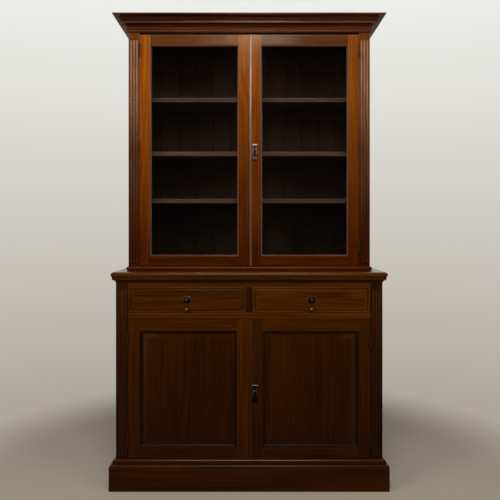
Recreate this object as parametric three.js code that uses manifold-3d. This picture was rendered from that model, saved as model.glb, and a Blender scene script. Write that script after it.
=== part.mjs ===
// Glazed bookcase on a cupboard, in two stacked cases of joined boards.
// Millimetres. X runs to the right as seen from the front, Y to the back, Z up from the floor.
// The origin is on the floor, in the middle of the plinth's width and of the whole depth.
// Whatever has a left and a right copy is drawn once on the right and mirrored for the left.

import * as THREE from "three";
import { mergeVertices } from "three/addons/utils/BufferGeometryUtils.js";
import Module from "manifold-3d";

const wasm = await Module();
wasm.setup();

// Case sizes
const lowerHalfWidth = 632;
const lowerDepth = 437;
const upperStepIn = 39;
const upperSetback = 104.5;
const boardThickness = 20;
const backThickness = 10;
const backBoardWidth = 96;
const backGrooveDepth = 3;

// Heights of the lower case, from the floor up
const plinthHeight = 108;
const plinthProjection = 28;
const plinthMouldingHeight = 38;
const lowerFloorThickness = 22;
const lowerDoorHeight = 660;
const drawerRailHeight = 27;
const drawerFrontHeight = 121;
const friezeRailHeight = 25;
const lowerTopThickness = 45;
const lowerTopOverhang = 21;

// Heights of the upper case, from the lower top up
const baseMouldingHeight = 20;
const baseMouldingProjection = 9;
const upperFloorThickness = 21;
const upperDoorHeight = 1135;
const upperTopThickness = 22;
const corniceLap = 14;
const corniceRise = 62;
const corniceProjection = 66;
const corniceWallThickness = 22;

// Pilasters and their flutes
const lowerPilasterWidth = 57;
const upperPilasterWidth = 53;
const fluteCount = 3;
const fluteWidth = 9.5;
const fluteDepth = 3.5;
const flutePitch = 14;
const lowerFluteFoot = 16;
const lowerFluteHead = 36;
const upperFluteFoot = 24;
const upperFluteHead = 34;

// Shelves: height of each shelf's top over the floor of its case
const upperShelfHeights = { low: 333, middle: 569, high: 839 };
const cupboardShelfHeight = 320;
const shelfThickness = 21;
const upperShelfSetback = 60;
const cupboardShelfSetback = 75;
const shelfEndGap = 0.5;
const shelfBackGap = 2;
const bearerThickness = 12;
const bearerHeight = 18;
const bearerInset = 14;

// Doors
const doorThickness = 24;
const doorSetback = 1;
const doorSideGap = 1.5;
const doorEndGap = 2;
const meetingGap = 2;
const stopGap = 0.3;
const stopSize = 12;
const meetingBeadWidth = 12;
const meetingBeadProjection = 5;
const upperHingeStile = 58;
const upperMeetingStile = 57;
const upperBeadedStile = 63;
const upperTopRail = 56;
const upperBottomRail = 53;
const sightMouldingWidth = 7;
const sightMouldingDepth = 8;
const glassSetback = 12;
const glassThickness = 3;
const glassEdgeGap = 1;
const glazingRebate = 8;
const lowerHingeStile = 54;
const lowerMeetingStile = 57;
const lowerBeadedStile = 64;
const lowerTopRail = 56;
const lowerBottomRail = 50;
const panelMouldingWidth = 14;
const panelMouldingDepth = 10;
const panelGrooveDepth = 9;
const panelGrooveSetback = 12;
const panelTongueThickness = 6.4;
const panelBevelWidth = 20;
const panelFieldSetback = 4;
const panelFieldStep = 2;
const panelMarginFlat = 1;
const fitGap = 0.3;

// Hinges
const hingeLength = 64;
const hingeBarrelRadius = 3.5;
const hingeLeafThickness = 1.8;
const hingeLeafDepth = 18;
const hingeAxisOut = 4;
const knuckleCount = 5;
const upperHingeHeadInset = 75;
const upperHingeFootInset = 102;
const upperHingeMiddleRise = 5;
const lowerHingeHeadInset = 100;
const lowerHingeFootInset = 88;

// Drawers
const muntinWidth = 32;
const drawerGap = 1.5;
const drawerEdgeWidth = 10;
const drawerEdgeDepth = 6;
const drawerSideThickness = 10;
const drawerFloorThickness = 8;
const drawerBoxInset = 1;
const drawerBoxHeight = 112;
const drawerBackSpace = 22;
const dustBoardThickness = 15;
const guideHeight = 25;

// Locks, plates and drops
const upperKeyHeight = 588;
const lowerKeyHeight = 337;
const lockWidth = 40;
const lockHeight = 60;
const lockThickness = 12;
const lockEdgeInset = 3;
const keyholeRadius = 2.6;
const keyholeLength = 9;
const keySlotHalfWidth = 1.43;
const plateHalfWidth = 13.5;
const plateHeight = 60;
const plateThickness = 2;
const plateKeyInset = 12;
const plateBeadGap = 0.5;
const pivotDrop = 15;
const pivotOut = 7;
const earThickness = 2.6;
const earRadius = 4;
const eyeRadius = 3.2;
const eyeWidth = 6;
const stemHalfWidth = 2.4;
const spadeHalfWidth = 13;
const spadeLength = 52;
const spadeThickness = 5;
const rosetteRadius = 21;
const rosetteThickness = 3.5;
const pearPivotOut = 11;
const pearRadius = 7.5;
const pearLength = 54;

// Levels and planes worked out from the sizes
const upperHalfWidth = lowerHalfWidth - upperStepIn;
const totalDepth = lowerDepth + plinthProjection;
const backY = totalDepth / 2;
const lowerFrontY = backY - lowerDepth;
const upperFrontY = lowerFrontY + upperSetback;
const backBoardY = backY - backThickness;
const lowerInner = lowerHalfWidth - boardThickness;
const upperInner = upperHalfWidth - boardThickness;
const lowerOpening = lowerHalfWidth - lowerPilasterWidth;
const upperOpening = upperHalfWidth - upperPilasterWidth;
const lowerFloorZ = plinthHeight + plinthMouldingHeight;
const lowerDoorZ = lowerFloorZ + doorEndGap;
const drawerRailZ = lowerDoorZ + lowerDoorHeight + doorEndGap;
const drawerFloorZ = drawerRailZ + drawerRailHeight;
const drawerFrontZ = drawerFloorZ + drawerGap;
const friezeRailZ = drawerFrontZ + drawerFrontHeight + drawerGap;
const lowerTopZ = friezeRailZ + friezeRailHeight;
const upperBaseZ = lowerTopZ + lowerTopThickness;
const upperFloorZ = upperBaseZ + upperFloorThickness;
const upperDoorZ = upperFloorZ + doorEndGap;
const upperTopZ = upperDoorZ + upperDoorHeight + doorEndGap;
const upperCaseTopZ = upperTopZ + upperTopThickness;
const cupboardShelfTop = lowerFloorZ + cupboardShelfHeight;
const upperShelfTops = {
  low: upperFloorZ + upperShelfHeights.low,
  middle: upperFloorZ + upperShelfHeights.middle,
  high: upperFloorZ + upperShelfHeights.high,
};
const lowerHingeZ = {
  top: lowerDoorZ + lowerDoorHeight - lowerHingeHeadInset,
  bottom: lowerDoorZ + lowerHingeFootInset,
};
const upperHingeHeadZ = upperDoorZ + upperDoorHeight - upperHingeHeadInset;
const upperHingeFootZ = upperDoorZ + upperHingeFootInset;
const upperHingeZ = {
  top: upperHingeHeadZ,
  middle: (upperHingeHeadZ + upperHingeFootZ) / 2 + upperHingeMiddleRise,
  bottom: upperHingeFootZ,
};

// How far a cut passes a face, how far glued parts lap inside each other, and how far a long cut reaches
const cutReach = 1;
const joinLap = 1;
const overReach = 50;

// Sides of turned parts and steps of curves
const mouldingSteps = 4;
const panelMouldingSteps = 3;
const plateSteps = 5;
const beadSides = 8;
const barrelSides = 14;
const pivotSides = 12;
const rosetteSides = 24;
const pearSides = 14;
const fluteSides = 12;
const fluteEndSteps = 3;

// Outlines, in shares of a width and a height or depth. A row of two numbers is a straight line to a point.
// A row of four is a curve to the point in its last two numbers, drawn towards the point in its first two.

// Mouldings round the cases, from the foot up
const plinthMouldingRows = [
  [1, 0],
  [1, 0.42, 0.57, 0.42],
  [0.5, 0.45],
  [0.5, 0.6],
  [0.46, 0.97, 0.08, 1],
];
const lowerTopRows = [
  [0.04, 0],
  [0.12, 0.06],
  [0.2, 0.3, 0.62, 0.34],
  [0.76, 0.46],
  [0.95, 0.54],
  [1, 0.57],
  [1, 0.64],
  [0.8, 0.95, 0.08, 1],
];
const baseMouldingRows = [
  [0.3, 0],
  [0.3, 0.12],
  [0.9, 0.2, 1, 0.4],
  [1, 0.55],
  [0.7, 0.9, 0.12, 1],
];
const corniceRows = [
  [0.08, 0],
  [0.08, 0.25],
  [0.13, 0.27],
  [0.13, 0.31],
  [0.22, 0.35, 0.15, 0.4],
  [0.18, 0.56, 0.38, 0.6],
  [0.42, 0.62],
  [0.52, 0.63, 0.52, 0.74],
  [0.57, 0.76],
  [0.62, 0.84, 0.86, 0.85],
  [0.93, 0.87],
  [1, 0.93],
  [1, 1],
];

// Edges of the door openings and the drawer fronts, from the front back
const sightRows = [
  [1, 0.2],
  [0.85, 0.2],
  [0, 0.2, 0, 1],
];
const panelMouldingRows = [
  [1, 0.2],
  [0.9, 0.2],
  [0.45, 0.1, 0.4, 0.6],
  [0.3, 0.7],
  [0, 0.7, 0, 1],
];
const drawerEdgeRows = [
  [-1, 0],
  [-0.85, 0.25],
  [0, 0.25, 0, 1],
];

// Metalwork: the escutcheon and the flat drop from their heads down, the rosette and the pear as turned
const escutcheonRows = [
  [-1, 0],
  [1, 0],
  [0.95, -0.2, 0.66, -0.28],
  [0.5, -0.5, 0.8, -0.66],
  [0.7, -0.92, 0, -1],
  [-0.7, -0.92, -0.8, -0.66],
  [-0.5, -0.5, -0.66, -0.28],
  [-0.95, -0.2, -1, 0],
];
const stemShare = stemHalfWidth / spadeHalfWidth;
const spadeRows = [
  [-stemShare, 0],
  [-stemShare, -0.2],
  [-0.3, -0.5, -1, -0.72],
  [-1.02, -0.98, -0.55, -1],
  [0, -0.93, 0.55, -1],
  [1.02, -0.98, 1, -0.72],
  [0.3, -0.5, stemShare, -0.2],
  [stemShare, 0],
];
const rosetteRows = [
  [0, 0],
  [1, 0],
  [1, 0.45],
  [0.93, 0.85],
  [0.82, 0.9],
  [0.72, 0.55],
  [0.45, 0.6],
  [0.38, 1],
  [0, 1],
];
const pearRows = [
  [0, -1],
  [0.35, -0.985],
  [0.5, -0.95],
  [0.9, -0.9],
  [1, -0.83],
  [0.8, -0.75],
  [0.42, -0.66],
  [0.36, -0.6],
  [0.5, -0.57],
  [0.27, -0.53],
  [0.24, 0],
  [0, 0],
];

// Finishes
const upperWood = { color: 0x7c431c, roughness: 0.42, metalness: 0 };
const lowerWood = { color: 0x42210f, roughness: 0.4, metalness: 0 };
const innerWood = { color: 0x2d1a10, roughness: 0.6, metalness: 0 };
const drawerWood = { color: 0x7a5a3a, roughness: 0.65, metalness: 0 };
const darkBronze = { color: 0x2c221c, roughness: 0.4, metalness: 0.9 };
const lockSteel = { color: 0x55504a, roughness: 0.5, metalness: 0.9 };
const paneGlass = { color: 0xdfe8e6, roughness: 0.04, metalness: 0, transparent: true, opacity: 0.3 };

// A closed geometry as a solid that can be joined and cut.
function solid(geometry) {
  geometry.deleteAttribute("normal");
  geometry.deleteAttribute("uv");
  const sameCorner = 1e-4;
  const merged = mergeVertices(geometry, sameCorner);
  const mesh = new wasm.Mesh({
    numProp: 3,
    vertProperties: merged.attributes.position.array,
    triVerts: new Uint32Array(merged.index.array),
  });
  return new wasm.Manifold(mesh);
}

// A solid as a geometry. Its corners are on a fine grid, so that pieces seated face to face share one plane.
function geometryOf(made) {
  const gridSteps = 1000;
  const mesh = made.getMesh();
  const corners = Float32Array.from(mesh.vertProperties, (v) => Math.round(v * gridSteps) / gridSteps);
  const geometry = new THREE.BufferGeometry();
  geometry.setAttribute("position", new THREE.BufferAttribute(corners, mesh.numProp));
  geometry.setIndex(new THREE.BufferAttribute(mesh.triVerts, 1));
  const flat = geometry.toNonIndexed();
  flat.computeVertexNormals();
  return flat;
}

// A straight board between two corners.
function board(x0, x1, y0, y1, z0, z1) {
  const box = new THREE.BoxGeometry(x1 - x0, y1 - y0, z1 - z0);
  return solid(box.translate((x0 + x1) / 2, (y0 + y1) / 2, (z0 + z1) / 2));
}

// The path of an outline's rows, for one width and one height.
function traced(path, rows, across, up) {
  const [start, ...rest] = rows.map((row) => row.map((share, i) => share * (i % 2 ? up : across)));
  path.moveTo(...start);
  for (const row of rest) {
    if (row.length === 2) {
      path.lineTo(...row);
    } else {
      path.quadraticCurveTo(...row);
    }
  }
  return path;
}

// The points of an outline's rows, as pairs.
function pointsOf(rows, across, up, steps) {
  return traced(new THREE.Path(), rows, across, up)
    .getPoints(steps)
    .map((q) => [q.x, q.y]);
}

// A shape run straight through space: its first axis, second axis and run are world directions.
function run(shape, first, second, direction, length, start) {
  const settings = { depth: length, bevelEnabled: false, curveSegments: plateSteps };
  const geometry = new THREE.ExtrudeGeometry(shape, settings);
  const place = new THREE.Matrix4().makeBasis(first, second, direction).setPosition(start);
  return solid(geometry.applyMatrix4(place));
}

function shapeOf(points) {
  return new THREE.Shape(points.map(([a, b]) => new THREE.Vector2(a, b)));
}

const X = new THREE.Vector3(1, 0, 0);
const Y = new THREE.Vector3(0, 1, 0);
const Z = new THREE.Vector3(0, 0, 1);
const towardsFront = new THREE.Vector3(0, -1, 0);

// Points in (y, z), run from x0 to x1.
function alongX(points, x0, x1) {
  return run(shapeOf(points), Y, Z, X, x1 - x0, new THREE.Vector3(x0, 0, 0));
}

// Points in (x, z), run from y0 to y1.
function alongY(points, y0, y1) {
  return run(shapeOf(points), X, Z, towardsFront, y1 - y0, new THREE.Vector3(0, y1, 0));
}

// Points in (x, y), run from z0 to z1.
function alongZ(points, z0, z1) {
  return run(shapeOf(points), X, Y, Z, z1 - z0, new THREE.Vector3(0, 0, z0));
}

// A board whose edge follows one outline round its front and both ends, mitred at the corners.
// The outline runs up the edge as points (out from the case, up from baseZ).
function mouldedBoard(outline, halfWidth, frontY, baseZ) {
  const front = outline.map(([out, up]) => [frontY - out, baseZ + up]);
  front.push([backY, front.at(-1)[1]], [backY, baseZ]);
  const right = outline.map(([out, up]) => [halfWidth + out, baseZ + up]);
  const left = right.map(([x, z]) => [-x, z]).reverse();
  const reach = halfWidth + overReach + Math.max(...outline.map(([out]) => out));
  const ends = alongY([...right, ...left], frontY - reach, backY + overReach);
  return alongX(front, -reach, reach).intersect(ends);
}

// The same moulding as a strip round a case: the case's own block is cut out of the board.
function mouldedStrip(outline, halfWidth, frontY, baseZ) {
  const top = baseZ + outline.at(-1)[1];
  const inside = board(-halfWidth, halfWidth, frontY, backY + overReach, baseZ - overReach, top + overReach);
  return mouldedBoard(outline, halfWidth, frontY, baseZ).subtract(inside);
}

// A rectangle in a door or drawer face whose four edges follow one outline, mitred at the corners.
// The outline runs from front to back as points (out from the rectangle, y).
function mitredBlock(outline, x0, x1, z0, z1) {
  const upper = outline.map(([out, y]) => [y, z1 + out]);
  const lower = outline.map(([out, y]) => [y, z0 - out]).reverse();
  const right = outline.map(([out, y]) => [x1 + out, y]);
  const left = outline.map(([out, y]) => [x0 - out, y]).reverse();
  const reach = overReach + Math.max(...outline.map(([out]) => Math.abs(out)));
  return alongX([...upper, ...lower], x0 - reach, x1 + reach).intersect(
    alongZ([...right, ...left], z0 - reach, z1 + reach),
  );
}

// The edge of a door's opening: a moulding at its front, then straight through.
function openingEdge(rows, width, depth, steps, faceY) {
  const moulding = pointsOf(rows, width, depth, steps).map(([out, back]) => [out, faceY + back]);
  return [[width, faceY - cutReach], ...moulding, [0, faceY + doorThickness + cutReach]];
}

const bookcase = new THREE.Group();

// One named piece in a group.
function piece(group, name, made, finish) {
  const mesh = new THREE.Mesh(geometryOf(made), new THREE.MeshStandardMaterial(finish));
  mesh.name = name;
  group.add(mesh);
}

// A group for the pieces on one side, mirrored when that side is the left.
function sideGroup(side) {
  const group = new THREE.Group();
  group.scale.x = side === "left" ? -1 : 1;
  bookcase.add(group);
  return group;
}

// A pilaster: a flat board with hollow flutes that stop in round ends.
// Shallow seats for the hinge leaves are cut in the edge that faces the door.
function pilaster(opening, halfWidth, frontY, z0, z1, foot, head, hingeMiddles) {
  let made = board(opening, halfWidth, frontY, frontY + boardThickness, z0, z1);
  const radius = (fluteWidth ** 2 / 4 + fluteDepth ** 2) / (2 * fluteDepth);
  const length = head - foot - 2 * radius;
  for (let i = 0; i < fluteCount; i += 1) {
    const x = (opening + halfWidth) / 2 + (i - (fluteCount - 1) / 2) * flutePitch;
    const cutter = new THREE.CapsuleGeometry(radius, length, fluteEndSteps, fluteSides);
    cutter.rotateX(Math.PI / 2);
    cutter.translate(x, frontY + fluteDepth - radius, (foot + head) / 2);
    made = made.subtract(solid(cutter));
  }
  const half = hingeLength / 2 + fitGap;
  const seatX = opening + hingeLeafThickness;
  const seatY = frontY + hingeLeafDepth + fitGap;
  for (const z of hingeMiddles) {
    made = made.subtract(board(opening - cutReach, seatX, frontY - cutReach, seatY, z - half, z + half));
  }
  return made;
}

// Knuckles of a butt hinge, every second one from the first: 0 for the pilaster's leaf, 1 for the door's.
// Each has a tab from its middle back to tabY, between tabX0 and tabX1.
function knuckles(first, opening, frontY, middle, tabX0, tabX1, tabY) {
  const pitch = (hingeLength + fitGap) / knuckleCount;
  const length = pitch - fitGap;
  const axisY = frontY - hingeAxisOut;
  const made = [];
  for (let i = first; i < knuckleCount; i += 2) {
    const foot = middle - hingeLength / 2 + i * pitch;
    const barrel = new THREE.CylinderGeometry(hingeBarrelRadius, hingeBarrelRadius, length, barrelSides);
    barrel.rotateX(Math.PI / 2);
    barrel.translate(opening - doorSideGap / 2, axisY, foot + length / 2);
    made.push(solid(barrel).add(board(tabX0, tabX1, axisY, tabY, foot, foot + length)));
  }
  return made;
}

// The half of a butt hinge that is let into the pilaster.
function hinge(opening, frontY, middle) {
  const half = hingeLength / 2;
  const outer = opening + hingeLeafThickness;
  const leaf = board(opening, outer, frontY, frontY + hingeLeafDepth, middle - half, middle + half);
  const barrels = knuckles(0, opening, frontY, middle, opening, outer, frontY + joinLap);
  return barrels.reduce((sum, part) => sum.add(part), leaf);
}

// The door's half of each hinge: its leaf is let in flush, so only its knuckles stand out of the frame.
function withKnuckles(frame, opening, frontY, middles) {
  const outer = opening - doorSideGap;
  const inner = outer - hingeLeafThickness;
  const tabY = frontY + doorSetback + joinLap;
  const parts = middles.flatMap((middle) => knuckles(1, opening, frontY, middle, inner, outer, tabY));
  return parts.reduce((sum, part) => sum.add(part), frame);
}

// Vertical boards side by side behind a case, with a V groove at each joint.
function groovedBack(inner, z0, z1) {
  const count = Math.round((2 * inner) / backBoardWidth);
  const pitch = (2 * inner) / count;
  const outline = [[-inner, backBoardY]];
  for (let i = 1; i < count; i += 1) {
    const x = i * pitch - inner;
    outline.push([x - backGrooveDepth, backBoardY]);
    outline.push([x, backBoardY + backGrooveDepth]);
    outline.push([x + backGrooveDepth, backBoardY]);
  }
  outline.push([inner, backBoardY], [inner, backY], [-inner, backY]);
  return alongZ(outline.reverse(), z0, z1);
}

// A side board with bearers for the shelves glued to its inner face.
function sideBoard(inner, outer, frontY, z0, z1, shelfTops, bearerY) {
  let made = board(inner, outer, frontY + boardThickness, backY, z0, z1);
  for (const top of shelfTops) {
    const seat = top - shelfThickness;
    const bearer = board(
      inner - bearerThickness,
      inner + joinLap,
      bearerY,
      backBoardY - bearerInset,
      seat - bearerHeight,
      seat,
    );
    made = made.add(bearer);
  }
  return made;
}

// A floor or top board: between the pilasters at the front, between the sides behind them.
// A stop for the doors is glued across it, above or below.
function crossBoard(opening, inner, frontY, z0, z1, stopZ0, stopZ1) {
  const shoulder = frontY + boardThickness;
  const outline = [
    [-opening, frontY],
    [opening, frontY],
    [opening, shoulder],
    [inner, shoulder],
    [inner, backBoardY],
    [-inner, backBoardY],
    [-inner, shoulder],
    [-opening, shoulder],
  ];
  const stopY = frontY + doorSetback + doorThickness + stopGap;
  return alongZ(outline, z0, z1).add(board(-opening, opening, stopY, stopY + stopSize, stopZ0, stopZ1));
}

function shelf(inner, frontY, top) {
  return board(
    -inner + shelfEndGap,
    inner - shelfEndGap,
    frontY,
    backBoardY - shelfBackGap,
    top - shelfThickness,
    top,
  );
}

// The sight opening of a door: what the stiles and rails leave free.
function sightOf(x0, x1, z0, z1, meetingStile, hingeStile, bottomRail, topRail) {
  return { x0: x0 + meetingStile, x1: x1 - hingeStile, z0: z0 + bottomRail, z1: z1 - topRail };
}

// Grows a sight opening by the same amount on all sides, from y0 to y1.
function grown(sight, by, y0, y1) {
  return board(sight.x0 - by, sight.x1 + by, y0, y1, sight.z0 - by, sight.z1 + by);
}

// A half-round bead along the meeting edge of a right-hand door.
function meetingBead(x0, faceY, z0, z1) {
  const middle = x0 + meetingBeadWidth / 2;
  const radius = meetingBeadWidth / 2;
  const outline = [];
  for (let i = 0; i <= beadSides; i += 1) {
    const turn = (Math.PI * i) / beadSides;
    outline.push([middle - radius * Math.cos(turn), faceY - meetingBeadProjection * Math.sin(turn)]);
  }
  outline.push([x0 + meetingBeadWidth, faceY + joinLap], [x0, faceY + joinLap]);
  return alongZ(outline, z0, z1);
}

// The hollow for a lock in the back of a beaded stile, with the keyhole through to it.
function lockHollow(x0, faceY, keyZ) {
  const backFace = faceY + doorThickness;
  const keyX = plateMiddle(x0);
  const hollow = board(
    x0 + lockEdgeInset,
    x0 + lockEdgeInset + lockWidth,
    backFace - lockThickness,
    backFace + cutReach,
    keyZ - lockHeight / 2,
    keyZ + lockHeight / 2,
  );
  const hole = board(
    keyX - keyholeRadius,
    keyX + keyholeRadius,
    faceY - cutReach,
    backFace - lockThickness + cutReach,
    keyZ - keyholeLength / 2 - keyholeRadius,
    keyZ + keyholeLength / 2,
  );
  return hollow.add(hole);
}

function lock(x0, faceY, keyZ) {
  const backFace = faceY + doorThickness;
  return board(
    x0 + lockEdgeInset + fitGap,
    x0 + lockEdgeInset + lockWidth - fitGap,
    backFace - lockThickness,
    backFace,
    keyZ - lockHeight / 2 + fitGap,
    keyZ + lockHeight / 2 - fitGap,
  );
}

function plateMiddle(x0) {
  return x0 + meetingBeadWidth + plateBeadGap + plateHalfWidth;
}

// A shaped plate with a keyhole and two ears that hold the drop.
function escutcheon(x0, faceY, keyZ) {
  const outline = traced(new THREE.Shape(), escutcheonRows, plateHalfWidth, plateHeight);
  const keyY = -plateKeyInset;
  const shoulder = -Math.sqrt(keyholeRadius ** 2 - keySlotHalfWidth ** 2);
  const rightTurn = Math.atan2(shoulder, keySlotHalfWidth);
  const leftTurn = Math.atan2(shoulder, -keySlotHalfWidth);
  const keyhole = new THREE.Path();
  keyhole.moveTo(keySlotHalfWidth, keyY + shoulder);
  keyhole.absarc(0, keyY, keyholeRadius, rightTurn, leftTurn, false);
  keyhole.lineTo(-keySlotHalfWidth, keyY + keyholeRadius - keyholeLength);
  keyhole.lineTo(keySlotHalfWidth, keyY + keyholeRadius - keyholeLength);
  outline.holes.push(keyhole);
  const middle = plateMiddle(x0);
  const start = new THREE.Vector3(middle, faceY, keyZ + plateKeyInset);
  let made = run(outline, X, Z, towardsFront, plateThickness, start);
  for (const side of [-1, 1]) {
    made = made.add(ear(middle, side, faceY - plateThickness, faceY - pivotOut, keyZ - pivotDrop));
  }
  return made;
}

// A round-nosed ear beside the eye of a drop, standing out from seatY to its pivot.
function ear(middle, side, seatY, pivotY, pivotZ) {
  const inner = middle + side * (eyeWidth / 2 + fitGap);
  const outer = inner + side * earThickness;
  const nose = new THREE.CylinderGeometry(earRadius, earRadius, earThickness, pivotSides);
  nose.rotateZ(Math.PI / 2);
  nose.translate((inner + outer) / 2, pivotY, pivotZ);
  const cheek = board(
    Math.min(inner, outer),
    Math.max(inner, outer),
    pivotY,
    seatY + joinLap,
    pivotZ - earRadius,
    pivotZ + earRadius,
  );
  return solid(nose).add(cheek);
}

// The round eye at the head of a drop, on its pivot line.
function eye(middle, pivotY, pivotZ) {
  const roller = new THREE.CylinderGeometry(eyeRadius, eyeRadius, eyeWidth, pivotSides);
  roller.rotateZ(Math.PI / 2);
  roller.translate(middle, pivotY, pivotZ);
  return solid(roller);
}

// A flat drop that widens like a spade to its foot, hanging from its eye.
function spadeDrop(x0, faceY, keyZ) {
  const middle = plateMiddle(x0);
  const pivotY = faceY - pivotOut;
  const pivotZ = keyZ - pivotDrop;
  const outline = traced(new THREE.Shape(), spadeRows, spadeHalfWidth, spadeLength);
  const start = new THREE.Vector3(middle, pivotY + spadeThickness / 2, pivotZ);
  return run(outline, X, Z, towardsFront, spadeThickness, start).add(eye(middle, pivotY, pivotZ));
}

// A turned part from its rows, standing on the XZ plane and spun about Y.
function turned(rows, radius, length, sides) {
  return new THREE.LatheGeometry(
    rows.map(([out, up]) => new THREE.Vector2(out * radius, up * length)),
    sides,
  );
}

// A round back plate with a raised rim and middle, and two ears for its drop.
function rosette(middle, faceY, z) {
  const disc = turned(rosetteRows, rosetteRadius, rosetteThickness, rosetteSides);
  disc.rotateX(Math.PI);
  disc.translate(middle, faceY, z);
  let made = solid(disc);
  for (const side of [-1, 1]) {
    made = made.add(ear(middle, side, faceY - rosetteThickness, faceY - pearPivotOut, z));
  }
  return made;
}

// A turned pear on a thin stem, hanging from its eye.
function pearDrop(middle, faceY, z) {
  const pivotY = faceY - pearPivotOut;
  const pear = turned(pearRows, pearRadius, pearLength, pearSides);
  pear.rotateX(Math.PI / 2);
  pear.translate(middle, pivotY, z);
  return solid(pear).add(eye(middle, pivotY, z));
}

// Lower case
const plinthOutline = [
  [plinthProjection, 0],
  [plinthProjection, plinthHeight],
];
const plinthMoulding = pointsOf(plinthMouldingRows, plinthProjection, plinthMouldingHeight, mouldingSteps);
const lowerTopEdge = pointsOf(lowerTopRows, lowerTopOverhang, lowerTopThickness, mouldingSteps);
piece(bookcase, "plinth", mouldedStrip(plinthOutline, lowerHalfWidth, lowerFrontY, 0), lowerWood);
piece(
  bookcase,
  "plinth_moulding",
  mouldedStrip(plinthMoulding, lowerHalfWidth, lowerFrontY, plinthHeight),
  lowerWood,
);
piece(
  bookcase,
  "lower_floor_board",
  crossBoard(
    lowerOpening,
    lowerInner,
    lowerFrontY,
    lowerFloorZ - lowerFloorThickness,
    lowerFloorZ,
    lowerFloorZ - joinLap,
    lowerFloorZ + stopSize,
  ),
  innerWood,
);
piece(bookcase, "lower_back_boards", groovedBack(lowerInner, 0, lowerTopZ), innerWood);
piece(
  bookcase,
  "cupboard_shelf",
  shelf(lowerInner, lowerFrontY + cupboardShelfSetback, cupboardShelfTop),
  innerWood,
);
piece(
  bookcase,
  "drawer_rail",
  board(-lowerOpening, lowerOpening, lowerFrontY, lowerFrontY + boardThickness, drawerRailZ, drawerFloorZ),
  lowerWood,
);
piece(
  bookcase,
  "frieze_rail",
  board(-lowerOpening, lowerOpening, lowerFrontY, lowerFrontY + boardThickness, friezeRailZ, lowerTopZ),
  lowerWood,
);
const muntinHalf = muntinWidth / 2;
piece(
  bookcase,
  "drawer_muntin",
  board(-muntinHalf, muntinHalf, lowerFrontY, lowerFrontY + boardThickness, drawerFloorZ, friezeRailZ),
  lowerWood,
);

// The board that the drawers run on, with a guide at each end and one between them.
function dustBoard() {
  const under = drawerFloorZ - dustBoardThickness;
  const guideTop = drawerFloorZ + guideHeight;
  const outline = [
    [-lowerInner, under],
    [lowerInner, under],
    [lowerInner, guideTop],
    [lowerOpening, guideTop],
    [lowerOpening, drawerFloorZ],
    [muntinHalf, drawerFloorZ],
    [muntinHalf, guideTop],
    [-muntinHalf, guideTop],
    [-muntinHalf, drawerFloorZ],
    [-lowerOpening, drawerFloorZ],
    [-lowerOpening, guideTop],
    [-lowerInner, guideTop],
  ];
  const stopY = lowerFrontY + doorSetback + doorThickness + stopGap;
  const stopZ = drawerRailZ - stopSize;
  const stop = board(-lowerOpening, lowerOpening, stopY, stopY + stopSize, stopZ, under + joinLap);
  return alongY(outline, lowerFrontY + boardThickness, backBoardY).add(stop);
}
piece(bookcase, "dust_board", dustBoard(), innerWood);
piece(bookcase, "lower_top", mouldedBoard(lowerTopEdge, lowerHalfWidth, lowerFrontY, lowerTopZ), lowerWood);

// Upper case
const baseMoulding = pointsOf(baseMouldingRows, baseMouldingProjection, baseMouldingHeight, mouldingSteps);
piece(
  bookcase,
  "upper_base_moulding",
  mouldedStrip(baseMoulding, upperHalfWidth, upperFrontY, upperBaseZ),
  upperWood,
);
piece(
  bookcase,
  "upper_floor_board",
  crossBoard(
    upperOpening,
    upperInner,
    upperFrontY,
    upperBaseZ,
    upperFloorZ,
    upperFloorZ - joinLap,
    upperFloorZ + stopSize,
  ),
  innerWood,
);
piece(
  bookcase,
  "upper_top_board",
  crossBoard(
    upperOpening,
    upperInner,
    upperFrontY,
    upperTopZ,
    upperCaseTopZ,
    upperTopZ - stopSize,
    upperTopZ + joinLap,
  ),
  upperWood,
);
piece(bookcase, "upper_back_boards", groovedBack(upperInner, upperBaseZ, upperCaseTopZ), innerWood);
for (const [place, top] of Object.entries(upperShelfTops)) {
  piece(bookcase, `${place}_shelf`, shelf(upperInner, upperFrontY + upperShelfSetback, top), innerWood);
}

// The cornice laps down over the case and stands on the top edges of the sides, pilasters and top board.
function cornice() {
  const baseZ = upperCaseTopZ - corniceLap;
  const topZ = upperCaseTopZ + corniceRise;
  const behind = backY + overReach;
  const inner = upperHalfWidth - corniceWallThickness;
  const outline = pointsOf(corniceRows, corniceProjection, topZ - baseZ, mouldingSteps);
  const well = board(-inner, inner, upperFrontY + corniceWallThickness, behind, baseZ, topZ + cutReach);
  const lap = board(-upperHalfWidth, upperHalfWidth, upperFrontY, behind, baseZ - cutReach, upperCaseTopZ);
  return mouldedBoard(outline, upperHalfWidth, upperFrontY, baseZ).subtract(well).subtract(lap);
}
piece(bookcase, "cornice", cornice(), upperWood);

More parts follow.
